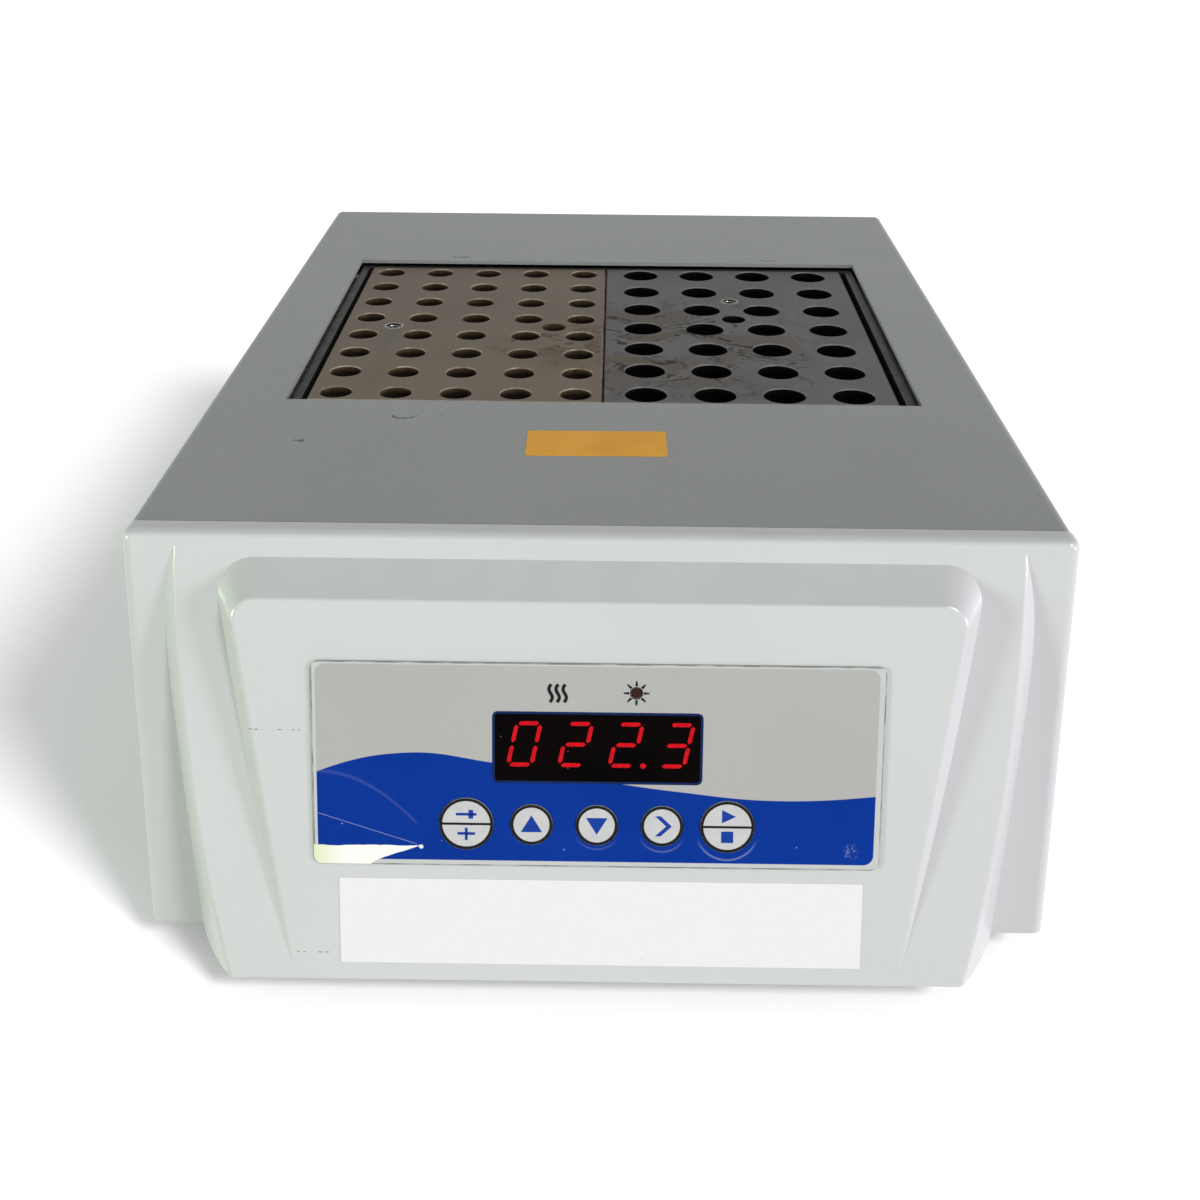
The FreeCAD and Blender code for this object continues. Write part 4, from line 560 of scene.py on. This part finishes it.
def film_places(tree, where):
    """How far a point lies across the film from its middle, and up it from its lower edge."""
    across = add_node(tree, "ShaderNodeSeparateXYZ", {"Vector": where}).outputs["X"]
    moved = vectors(tree, "SUBTRACT", where, FILM_FOOT)[0]
    return across, vectors(tree, "DOT_PRODUCT", moved, UP)["Value"]


def between(tree, value, low, high, soft):
    """1 from low to high, with soft ends."""
    return times(tree, spread(tree, value, low - soft, low + soft),
                 spread(tree, value, high + soft, high - soft))


pale, tree, shader, where = start_finish("bezel_plastic", rough=0.3)
patches = spread(tree, lumps(tree, where, 60 * MM, 3.0), 0.3, 0.7)
colour = tint(tree, patches, BEZEL_LIGHT, BEZEL_DARK)
# Painted shade on the upward-facing ledges, in uneven patches, partly dust.
dust_and_shade = times(tree, spread(tree, upward(tree), 0.45, 0.8),
                spread(tree, lumps(tree, where, 14 * MM, 4.0), 0.2, 0.6, 0.75, 1.0))
colour = tint(tree, dust_and_shade, colour, BEZEL_DUST_AND_SHADE)
colour = tint(tree, specks(tree, where, spacing=9 * MM, radius=0.3 * MM, share=0.14), colour, GREY_SPECK)
colour = tint(tree, specks(tree, where, spacing=17 * MM, radius=0.55 * MM, share=0.08), colour, BROWN_SPECK)
across, height = film_places(tree, where)
dashes = spread(tree, lumps(tree, stretched(tree, where, 1, 0, 0), 1.3 * MM, 1.0), 0.50, 0.56)
for left, right, up in SCUFFS:
    low, high = (up - SCUFF_HALF) * MM, (up + SCUFF_HALF) * MM
    scuff = times(tree, between(tree, across, left * MM, right * MM, soft=0.3 * MM),
                  between(tree, height, low, high, soft=0.06 * MM))
    colour = tint(tree, times(tree, scuff, dashes), colour, SCUFF_COLOUR)
feed(tree, shader, "Base Color", colour)
grain = lumps(tree, where, 0.45 * MM, 2.0)
feed(tree, shader, "Roughness", spread(tree, grain, 0.3, 0.7, 0.235, 0.255))
raise_grain(tree, shader, grain, depth=0.001 * MM)
dress(pale, "front_bezel")


# A printed polyester film covers the console: warm grey above a blue field with a wavy top edge,
# under a clear gloss, with a bare clear margin. It is scratched and dusty,
# and its lower left corner has come loose, with a painted reflection on it.
FILM_WIDTH = film_high.x - film_low.x
FILM_HEIGHT = (film_high.z - film_low.z - FILM_THICKNESS * OUT.z) / UP.z
PRINT_LEFT, PRINT_RIGHT, PRINT_LOW, PRINT_HIGH, PRINT_CORNER = -60.4, 59.9, 1.2, 45.3, 2.2
PRINT_BLUR = 0.06
CRESTS = ((0.0, 0.452), (0.17, 0.558), (0.31, 0.516), (0.53, 0.420), (0.64, 0.381), (0.81, 0.342),
          (1.0, 0.372))
GREY_LIGHT, GREY_DARK = (0.440, 0.442, 0.426), (0.420, 0.422, 0.406)
BLUE_LIGHT, BLUE_DARK = (0.002, 0.036, 0.300), (0.001, 0.029, 0.255)


def on_film(x, up, rise):
    """Millimetres across from the middle, up from the film's lower edge and out from its face."""
    return FILM_FOOT + Vector((x * MM, 0, 0)) + UP * up * MM + OUT * rise * MM


def diagonal(tree, one, other):
    """The distance that two lengths at a right angle span."""
    squares = [calculate(tree, "POWER", length, 2.0) for length in (one, other)]
    return calculate(tree, "SQRT", calculate(tree, "ADD", *squares))


def far_from(tree, across, height, x, up):
    """The distance from one spot on the film, in metres."""
    return diagonal(tree, calculate(tree, "SUBTRACT", across, x * MM),
                    calculate(tree, "SUBTRACT", height, up * MM))


def off_centre(tree, value, low, high):
    """How far a value lies outside the middle stretch from low to high, in metres."""
    middle, half = (low + high) / 2 * MM, (high - low) / 2 * MM
    return calculate(tree, "MAXIMUM", calculate(tree, "SUBTRACT", gap(tree, value, middle), half), 0.0)


film, tree, shader, where = start_finish("overlay_film", rough=0.28, shine=0.06)
across, height = film_places(tree, where)
share = spread(tree, across, -FILM_WIDTH / 2, FILM_WIDTH / 2)
wave = add_node(tree, "ShaderNodeFloatCurve", {"Value": share})
curve = wave.mapping.curves[0]
curve.points[0].location, curve.points[-1].location = CRESTS[0], CRESTS[-1]
for crest in CRESTS[1:-1]:
    curve.points.new(*crest)
wave.mapping.update()
edge = times(tree, wave.outputs[0], FILM_HEIGHT)
is_blue = spread(tree, calculate(tree, "SUBTRACT", edge, height), -PRINT_BLUR * MM, PRINT_BLUR * MM)
cloud = spread(tree, lumps(tree, where, 30 * MM, 4.0), 0.3, 0.7)
grey = tint(tree, cloud, GREY_LIGHT, GREY_DARK)
blue = tint(tree, cloud, BLUE_LIGHT, BLUE_DARK)
colour = tint(tree, is_blue, grey, blue)

# Dust, a smudge and hairline scratches lie on the print.
# The film has also lifted a little below three of the keys, which shows as pale arcs.
FILM_DUST, SMUDGE_COLOUR = (0.42, 0.47, 0.62), (0.45, 0.48, 0.58)
ARC_COLOUR, SCRATCH_COLOUR = (0.42, 0.47, 0.58), (0.55, 0.60, 0.72)
SMUDGE_X, SMUDGE_UP = 55.0, 4.2
ARCS = ((0.0, 9.2, 5.1, 0.12), (14.1, 8.9, 5.2, 0.20), (28.2, 8.7, 6.7, 0.34))
LOOSE_TIP, LOOSE_TOP, LOOSE_BEND = -38.0, 4.5, -49.0
SCRATCH_LEFT, SCRATCH_HIGH, SCRATCH_START, SCRATCH_END = -61.0, 11.9, -60.3, LOOSE_TIP - 1.0
BOW_FOOT, BOW_REACH, BOW_FALL, BOW_HIGH = 60, 20, -10.5, 21.2
colour = tint(tree, specks(tree, where, spacing=2.4 * MM, radius=0.16 * MM, share=0.10), colour, FILM_DUST)
smudge = spread(tree, far_from(tree, across, height, SMUDGE_X, SMUDGE_UP), 2.0 * MM, 0.6 * MM)
smudge = times(tree, smudge, spread(tree, lumps(tree, where, 0.5 * MM, 3.0), 0.52, 0.62))
colour = tint(tree, times(tree, smudge, 0.5), colour, SMUDGE_COLOUR)
for x, up, radius, strength in ARCS:
    off = gap(tree, far_from(tree, across, height, x, up), radius * MM)
    lower_half = spread(tree, height, (up - 2.0) * MM, (up - 5.0) * MM)
    lifted = times(tree, spread(tree, off, 0.32 * MM, 0.05 * MM), lower_half)
    colour = tint(tree, times(tree, lifted, strength), colour, ARC_COLOUR)
straight = spread(tree, across, SCRATCH_LEFT * MM, LOOSE_TIP * MM, SCRATCH_HIGH * MM, LOOSE_TOP * MM)
run = calculate(tree, "DIVIDE", calculate(tree, "ADD", across, BOW_FOOT * MM), BOW_REACH * MM)
bow = times(tree, calculate(tree, "POWER", run, 2.0), BOW_FALL * MM)
bow = calculate(tree, "ADD", bow, BOW_HIGH * MM)
for line, width, strength in ((straight, 0.09 * MM, 0.55), (bow, 0.6 * MM, 0.055)):
    scratch = times(tree, spread(tree, gap(tree, height, line), width, 0.2 * width),
                    between(tree, across, SCRATCH_START * MM, SCRATCH_END * MM, soft=0.5 * MM))
    colour = tint(tree, times(tree, scratch, strength), colour, SCRATCH_COLOUR)

# The clear margin shows the bezel's colour, with a broken dark line just inside its outer edge.
# The loose corner carries a painted reflection up to a painted highlight on the crease at its tip, and the
# film's cut faces carry painted shade.
MARGIN_COLOUR, EDGE_LINE_COLOUR, CUT_FACE_SHADE = (0.545, 0.565, 0.550), (0.13, 0.14, 0.13), (0.27, 0.30, 0.28)
REFLECTION_YELLOW, REFLECTION_WHITE = (0.74, 0.79, 0.55), (0.93, 0.93, 0.86)
REFLECTION_BLUR, REFLECTION_FROM, REFLECTION_TO = 0.12, -61, -54
outside = diagonal(tree, off_centre(tree, across, PRINT_LEFT + PRINT_CORNER, PRINT_RIGHT - PRINT_CORNER),
                   off_centre(tree, height, PRINT_LOW + PRINT_CORNER, PRINT_HIGH - PRINT_CORNER))
margin = spread(tree, outside, (PRINT_CORNER - PRINT_BLUR) * MM, (PRINT_CORNER + PRINT_BLUR) * MM)
colour = tint(tree, margin, colour, MARGIN_COLOUR)
past_side = calculate(tree, "SUBTRACT", calculate(tree, "ABSOLUTE", across), FILM_WIDTH / 2)
past_end = calculate(tree, "SUBTRACT", gap(tree, height, FILM_HEIGHT / 2), FILM_HEIGHT / 2)
past_edge = calculate(tree, "MAXIMUM", past_side, past_end)
# A broken dark line just inside the film's outer edge.
edge_line = times(tree, spread(tree, past_edge, -0.34 * MM, -0.22 * MM),
             spread(tree, lumps(tree, where, 6 * MM, 4.0), 0.35, 0.6, 0.25, 0.85))
colour = tint(tree, edge_line, colour, EDGE_LINE_COLOUR)
# Painted reflection on the loose corner, with a painted highlight on the crease at its tip.
uneven = times(tree, calculate(tree, "SUBTRACT", lumps(tree, where, 5 * MM), 0.5), 0.9 * MM)
reflection_top = calculate(tree, "ADD", uneven, LOOSE_TOP * MM)
rise = calculate(tree, "POWER", spread(tree, across, LOOSE_BEND * MM, LOOSE_TIP * MM), 0.75)
reflection_foot = times(tree, rise, calculate(tree, "SUBTRACT", reflection_top, 0.1 * MM))
loose_reflection = times(tree, spread(tree, calculate(tree, "SUBTRACT", reflection_top, height), 0.0, REFLECTION_BLUR * MM),
              spread(tree, calculate(tree, "SUBTRACT", height, reflection_foot), 0.0, REFLECTION_BLUR * MM))
loose_reflection = times(tree, loose_reflection, calculate(tree, "LESS_THAN", across, LOOSE_TIP * MM))
crease_highlight = spread(tree, far_from(tree, across, height, LOOSE_TIP, LOOSE_TOP - 0.3), 0.55 * MM, 0.35 * MM)
loose_reflection = calculate(tree, "MAXIMUM", loose_reflection, crease_highlight)
reflection_colour = tint(tree, spread(tree, across, REFLECTION_FROM * MM, REFLECTION_TO * MM), REFLECTION_YELLOW, REFLECTION_WHITE)
colour = tint(tree, loose_reflection, colour, reflection_colour)
# Painted shade on the film's cut faces.
normal = add_node(tree, "ShaderNodeTexCoord").outputs["Normal"]
outward = vectors(tree, "DOT_PRODUCT", normal, OUT)["Value"]
colour = tint(tree, spread(tree, outward, 0.7, 0.4), colour, CUT_FACE_SHADE)
feed(tree, shader, "Base Color", colour)
feed(tree, shader, "Roughness", spread(tree, lumps(tree, where, 3 * MM, 4.0), 0.3, 0.7, 0.22, 0.32))
raise_grain(tree, shader, lumps(tree, where, 14 * MM, 1.0), depth=0.06 * MM)
dress(film, "keypad_overlay")


# The display window is a smoked pane let into the film, with a thin navy border printed round it.
# Dust lies on the pane.
WINDOW_LOW, WINDOW_HIGH, WINDOW_HALF, WINDOW_CORNER, BORDER_WIDTH = 19.3, 34.9, 22.3, 1.0, 0.55
INK_UNDER, INK_TOP = 0.005, 0.03
SMOKE_DARK, SMOKE_LIGHT, PANE_DUST = (0.0012, 0.0008, 0.0008), (0.0030, 0.0015, 0.0015), (0.16, 0.15, 0.15)


def add_band(mesh, line, width, spot, low, high, closed=False):
    """A flat band of even width along a line, between two heights over the face."""
    count = len(line)
    rows = []
    for i, (x, y) in enumerate(line):
        before = line[i - 1] if i or closed else line[0]
        after = line[(i + 1) % count] if i < count - 1 or closed else line[-1]
        run = Vector((after[0] - before[0], after[1] - before[1])).normalized()
        aside = Vector((-run.y, run.x)) * width / 2
        rows.append([mesh.verts.new(spot(x + side * aside.x, y + side * aside.y, level))
                     for side, level in ((1, low), (-1, low), (-1, high), (1, high))])
    for i in range(count if closed else count - 1):
        one, other = rows[i], rows[(i + 1) % count]
        for j in range(4):
            mesh.faces.new((one[j], one[(j + 1) % 4], other[(j + 1) % 4], other[j]))
    if not closed:
        mesh.faces.new(rows[0])
        mesh.faces.new(list(reversed(rows[-1])))


def printed_ink(name, light, dark):
    """Screen-printed ink, nearly matt under the film's gloss."""
    return mottled_finish(name, light, dark, rough=0.4, patch=2 * MM, grain=0.3 * MM, depth=0.01 * MM,
                          shine=0.12)


pane, tree, shader, where = start_finish("window_red", rough=0.12, shine=0.02)
dust = specks(tree, where, spacing=1.6 * MM, radius=0.14 * MM, share=0.08)
smoke = tint(tree, spread(tree, lumps(tree, where, 10 * MM), 0.3, 0.7), SMOKE_DARK, SMOKE_LIGHT)
feed(tree, shader, "Base Color", tint(tree, dust, smoke, PANE_DUST))
feed(tree, shader, "Roughness", spread(tree, lumps(tree, where, 4 * MM), 0.3, 0.7, 0.08, 0.2))
dress(pane, "display_window")
mesh = bmesh.new()
border = rounded_outline(-WINDOW_HALF, WINDOW_HALF, WINDOW_LOW, WINDOW_HIGH, WINDOW_CORNER)
add_band(mesh, border, BORDER_WIDTH, on_film, INK_UNDER, INK_TOP, closed=True)
navy_ink = printed_ink("navy_ink", light=(0.004, 0.018, 0.090), dark=(0.003, 0.014, 0.075))
finish_piece("window_border", mesh, navy_ink, "casing")


# Four red seven-bar digits glow in the window, a little slanted, with one point.
# Each bar is a six-cornered light of its own with a small gap to the next.
DIGIT_LOW, DIGIT_HEIGHT, DIGIT_WIDTH, DIGIT_SLANT = 23.2, 9.3, 5.05, 0.21
BAR, BAR_GAP, GLOW_UNDER, GLOW_TOP = 0.9, 0.35, -0.11, -0.07
DIGITS = ((-19.2, "abcdef"), (-8.2, "abdeg"), (2.6, "abdeg"), (13.5, "abcdg"))
BARS = {"a": ((0, 2), (1, 2)), "b": ((1, 1), (1, 2)), "c": ((1, 0), (1, 1)), "d": ((0, 0), (1, 0)),
        "e": ((0, 0), (0, 1)), "f": ((0, 1), (0, 2)), "g": ((0, 1), (1, 1))}
POINT_X, POINT_RADIUS = 9.8, 0.62
DULL_LIGHT, DULL_DARK = (0.22, 0.002, 0.004), (0.15, 0.001, 0.003)
HOT_LIGHT, HOT_DARK = (0.92, 0.004, 0.016), (0.66, 0.002, 0.010)
mesh = bmesh.new()
for left, lit in DIGITS:
    for bar in lit:
        ends = [Vector((i * DIGIT_WIDTH, j * DIGIT_HEIGHT / 2)) for i, j in BARS[bar]]
        run = (ends[1] - ends[0]).normalized()
        aside = Vector((-run.y, run.x)) * BAR / 2
        start, end = ends[0] + run * BAR_GAP, ends[1] - run * BAR_GAP
        corners = [start, start + run * BAR / 2 - aside, end - run * BAR / 2 - aside, end,
                   end - run * BAR / 2 + aside, start + run * BAR / 2 + aside]
        outline = [(left + p.x + DIGIT_SLANT * p.y, DIGIT_LOW + p.y) for p in corners]
        add_plate(mesh, outline, on_film, GLOW_UNDER, GLOW_TOP)
point = [(POINT_X + POINT_RADIUS * cos(i * pi / 8), DIGIT_LOW + POINT_RADIUS * sin(i * pi / 8))
         for i in range(16)]
add_plate(mesh, point, on_film, GLOW_UNDER, GLOW_TOP)
glow, tree, shader, where = start_finish("digit_glow", rough=0.4, shine=0.1)
glint = spread(tree, lumps(tree, where, 0.8 * MM), 0.35, 0.65)
feed(tree, shader, "Base Color", tint(tree, glint, DULL_LIGHT, DULL_DARK))
feed(tree, shader, "Emission Color", tint(tree, glint, HOT_LIGHT, HOT_DARK))
feed(tree, shader, "Emission Strength", 0.55)
finish_piece("digit_bars", mesh, glow, "casing")


# Two lamps sit above the window. The heat lamp shines through three printed heat waves,
# and the alarm lamp has a small dark red lens with printed rays round it.
LAMP_ROW, LAMP_X = 39.5, 8.2
WAVES, WAVE_STEPS, WAVE_LOW, WAVE_STEP = (-10.1, -8.6, -7.1), 16, 2.2, 0.25
WAVE_SWING, WAVE_LEAN, WAVE_WIDTH = 0.42, 0.015, 0.72
RAY_CORNERS = ((1.6, -0.19), (2.75, -0.05), (2.75, 0.05), (1.6, 0.19))
LENS_RIM, LENS_RIM_WIDTH = 1.3, 0.22
lens = mottled_finish("lamp_red", light=(0.045, 0.008, 0.006), dark=(0.022, 0.004, 0.004), rough=0.25,
                      patch=0.5 * MM, grain=0.3 * MM, depth=0.03 * MM, shine=0.15)
dress(lens, "heat_lamp", "alarm_lamp")
dark_ink = printed_ink("dark_ink", light=(0.010, 0.011, 0.012), dark=(0.006, 0.007, 0.008))
mesh = bmesh.new()
for x in WAVES:
    line = [(x + WAVE_SWING * sin(2 * pi * i / WAVE_STEPS) + WAVE_LEAN * (i - WAVE_STEPS / 2),
             LAMP_ROW - WAVE_LOW + WAVE_STEP * i) for i in range(WAVE_STEPS + 1)]
    add_band(mesh, line, WAVE_WIDTH, on_film, INK_UNDER, INK_TOP)
finish_piece("heat_waves", mesh, dark_ink, "casing")
mesh = bmesh.new()
for i in range(8):
    turn = i * pi / 4
    ray = [(LAMP_X + reach * cos(turn + lean), LAMP_ROW + reach * sin(turn + lean))
           for reach, lean in RAY_CORNERS]
    add_plate(mesh, ray, on_film, INK_UNDER, INK_TOP)
rim = [(LAMP_X + LENS_RIM * cos(i * pi / 12), LAMP_ROW + LENS_RIM * sin(i * pi / 12)) for i in range(24)]
add_band(mesh, rim, LENS_RIM_WIDTH, on_film, INK_UNDER, INK_TOP, closed=True)
finish_piece("alarm_rays", mesh, dark_ink, "casing")


# Five round keys sit level with the film: white discs printed with a dark ring and a blue sign.
# The two end keys are larger and split by a line, for two uses each.
KEY_ROW, KEY_PITCH, KEY_RISE = 9.6, 14.1, 0.1
RING_INSET, RING_WIDTH, SPLIT_INSET, SPLIT_WIDTH = 0.33, 0.64, 0.45, 0.52
SIGNS = {
    "key_set": [[(-2.2, 1.9), (2.2, 1.9), (2.2, 2.5), (-2.2, 2.5)],
                [(0.5, 1.2), (1.5, 1.2), (1.5, 3.2), (0.5, 3.2)],
                [(-1.9, -2.5), (1.9, -2.5), (1.9, -1.9), (-1.9, -1.9)],
                [(-0.3, -3.7), (0.3, -3.7), (0.3, -0.9), (-0.3, -0.9)]],
    "key_up": [[(-2.3, -1.7), (2.3, -1.7), (0, 2.1)]],
    "key_down": [[(-2.3, 1.7), (0, -2.1), (2.3, 1.7)]],
    "key_shift": [[(-1.5, -2.3), (-0.3, -2.3), (2.1, 0), (-0.3, 2.3), (-1.5, 2.3), (0.9, 0)]],
    "key_start": [[(-1.2, 0.9), (1.8, 2.4), (-1.2, 3.9)],
                  [(-1.3, -3.6), (1.3, -3.6), (1.3, -1.0), (-1.3, -1.0)]],
}
key_white = mottled_finish("key_white", light=(0.56, 0.57, 0.56), dark=(0.52, 0.53, 0.53), rough=0.34,
                           patch=3 * MM, grain=0.5 * MM, depth=0.02 * MM)
blue_ink = printed_ink("blue_ink", light=(0.008, 0.050, 0.34), dark=(0.006, 0.040, 0.29))
for i, (name, sign) in enumerate(SIGNS.items()):
    middle = (i - 2) * KEY_PITCH
    low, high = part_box(name)
    radius = (high.x - low.x) / 2 / MM
    dress(key_white, name)

    def on_key(x, up, rise):
        return on_film(middle + x, KEY_ROW + up, KEY_RISE + rise)

    mesh = bmesh.new()
    reach = radius - RING_INSET
    ring = [(reach * cos(j * pi / 24), reach * sin(j * pi / 24)) for j in range(48)]
    add_band(mesh, ring, RING_WIDTH, on_key, INK_UNDER, INK_TOP, closed=True)
    if len(sign) > 1:
        split = [(SPLIT_INSET - radius, 0), (radius - SPLIT_INSET, 0)]
        add_band(mesh, split, SPLIT_WIDTH, on_key, INK_UNDER, INK_TOP)
    finish_piece(name + "_ring", mesh, dark_ink, name + "_cap")
    mesh = bmesh.new()
    for outline in sign:
        add_plate(mesh, outline, on_key, INK_UNDER, INK_TOP)
    finish_piece(name + "_sign", mesh, blue_ink, name + "_cap")


# A white paper label is stuck on the console below the film.
# It is plain paper with fine fibres and a few specks, under a thin matt laminate.
LABEL_LEFT, LABEL_RIGHT, LABEL_LOW, LABEL_HIGH, LABEL_CORNER = -56.0, 58.0, -23.2, -3.4, 0.4
LABEL_UNDER, LABEL_TOP = 0.01, 0.13
PAPER_LIGHT, PAPER_DARK, PAPER_SPECK = (0.800, 0.800, 0.790), (0.780, 0.780, 0.770), (0.55, 0.54, 0.52)
mesh = bmesh.new()
outline = rounded_outline(LABEL_LEFT, LABEL_RIGHT, LABEL_LOW, LABEL_HIGH, LABEL_CORNER)
face = -FILM_THICKNESS / MM
add_plate(mesh, outline, on_film, face + LABEL_UNDER, face + LABEL_TOP)
paper, tree, shader, where = start_finish("label_paper", rough=0.5)
fibres = lumps(tree, stretched(tree, where, 0.3, 1, 1), 0.5 * MM, 4.0)
colour = tint(tree, spread(tree, fibres, 0.35, 0.65), PAPER_LIGHT, PAPER_DARK)
colour = tint(tree, specks(tree, where, spacing=5 * MM, radius=0.2 * MM, share=0.12), colour, PAPER_SPECK)
feed(tree, shader, "Base Color", colour)
feed(tree, shader, "Roughness", spread(tree, fibres, 0.3, 0.7, 0.42, 0.6))
raise_grain(tree, shader, fibres, depth=0.004 * MM)
finish_piece("white_label", mesh, paper, "casing")


# The studio has a wide white floor, an even white surround and three lamps: a soft one high on the right
# in front, a faintly green one low on the left and a faintly violet one low on the right.
# The two low lamps only graze the front and tint the console's sides.
FLOOR_SIZE, FLOOR_DULL, FLOOR_WHITE = 12.0, 0.90, 1.62
SURROUND_DULL, SURROUND_WHITE = 0.34, 1.0
LAMPS = (("key_lamp", 1.42, 14, (1.0, 0.985, 1.0), (-0.54, 0.58, -0.61)),
         ("left_lamp", 2.10, 12, (0.84, 1.0, 0.76), (0.92, 0.39, -0.03)),
         ("right_lamp", 2.20, 12, (0.95, 0.82, 1.0), (-0.92, 0.39, -0.03)))


def white_to_lens(tree):
    """1 for rays that go to the lens straight, by reflection or through glass."""
    path = add_node(tree, "ShaderNodeLightPath")
    either = calculate(tree, "MAXIMUM", path.outputs["Is Camera Ray"], path.outputs["Is Glossy Ray"])
    return calculate(tree, "MAXIMUM", either, path.outputs["Is Transmission Ray"])


bpy.ops.mesh.primitive_grid_add(x_subdivisions=2, y_subdivisions=2, size=FLOOR_SIZE, location=(0, 0, 0))
floor = bpy.context.object
floor.name = "studio_floor"
sweep = bpy.data.materials.new("studio_white")
sweep.use_nodes = True
tree = sweep.node_tree
tree.nodes.clear()
white = spread(tree, white_to_lens(tree), 0.0, 1.0, FLOOR_DULL, FLOOR_WHITE)
paint = add_node(tree, "ShaderNodeBsdfDiffuse", {"Color": white})
add_node(tree, "ShaderNodeOutputMaterial", {"Surface": paint.outputs[0]})
floor.data.materials.append(sweep)

world = bpy.data.worlds.new("studio_surround")
world.use_nodes = True
bpy.context.scene.world = world
tree = world.node_tree
background = tree.nodes["Background"]
feed(tree, background, "Color", (1, 1, 1, 1))
strength = spread(tree, white_to_lens(tree), 0.0, 1.0, SURROUND_DULL, SURROUND_WHITE)
feed(tree, background, "Strength", strength)

for name, energy, angle, colour, way in LAMPS:
    lamp = bpy.data.lights.new(name, "SUN")
    lamp.energy, lamp.angle, lamp.color = energy, radians(angle), colour
    holder = bpy.data.objects.new(name, lamp)
    holder.rotation_euler = Vector(way).to_track_quat("-Z", "Y").to_euler()
    bpy.context.scene.collection.objects.link(holder)


# The camera stands in front of the case and looks down on it from a little above the console.
# Its picture is shifted so that the case stands where it does in the photograph.
EYE = Vector((2.3, -425.7, 250.0)) * MM
YAW, PITCH, ROLL = radians(-0.47), radians(22.3), radians(0.47)
FOCAL_PIXELS, PICTURE_PIXELS, CENTRE_ROW = 1558.1, 1200, 433.2
SENSOR_WIDTH, NEAR_LIMIT = 36, 0.01
ahead = Vector((sin(YAW) * cos(PITCH), cos(YAW) * cos(PITCH), -sin(PITCH)))
level_right = Vector((cos(YAW), -sin(YAW), 0))
level_up = level_right.cross(ahead)
right = cos(ROLL) * level_right + sin(ROLL) * level_up
up = cos(ROLL) * level_up - sin(ROLL) * level_right
lens_data = bpy.data.cameras.new("camera")
lens_data.sensor_width = SENSOR_WIDTH
lens_data.lens = SENSOR_WIDTH * FOCAL_PIXELS / PICTURE_PIXELS
lens_data.shift_y = CENTRE_ROW / PICTURE_PIXELS - 0.5
lens_data.clip_start = NEAR_LIMIT
camera = bpy.data.objects.new("camera", lens_data)
camera.matrix_world = Matrix((right, up, -ahead)).transposed().to_4x4()
camera.location = EYE
bpy.context.scene.collection.objects.link(camera)
bpy.context.scene.camera = camera
bpy.context.scene.view_settings.view_transform = "Standard"
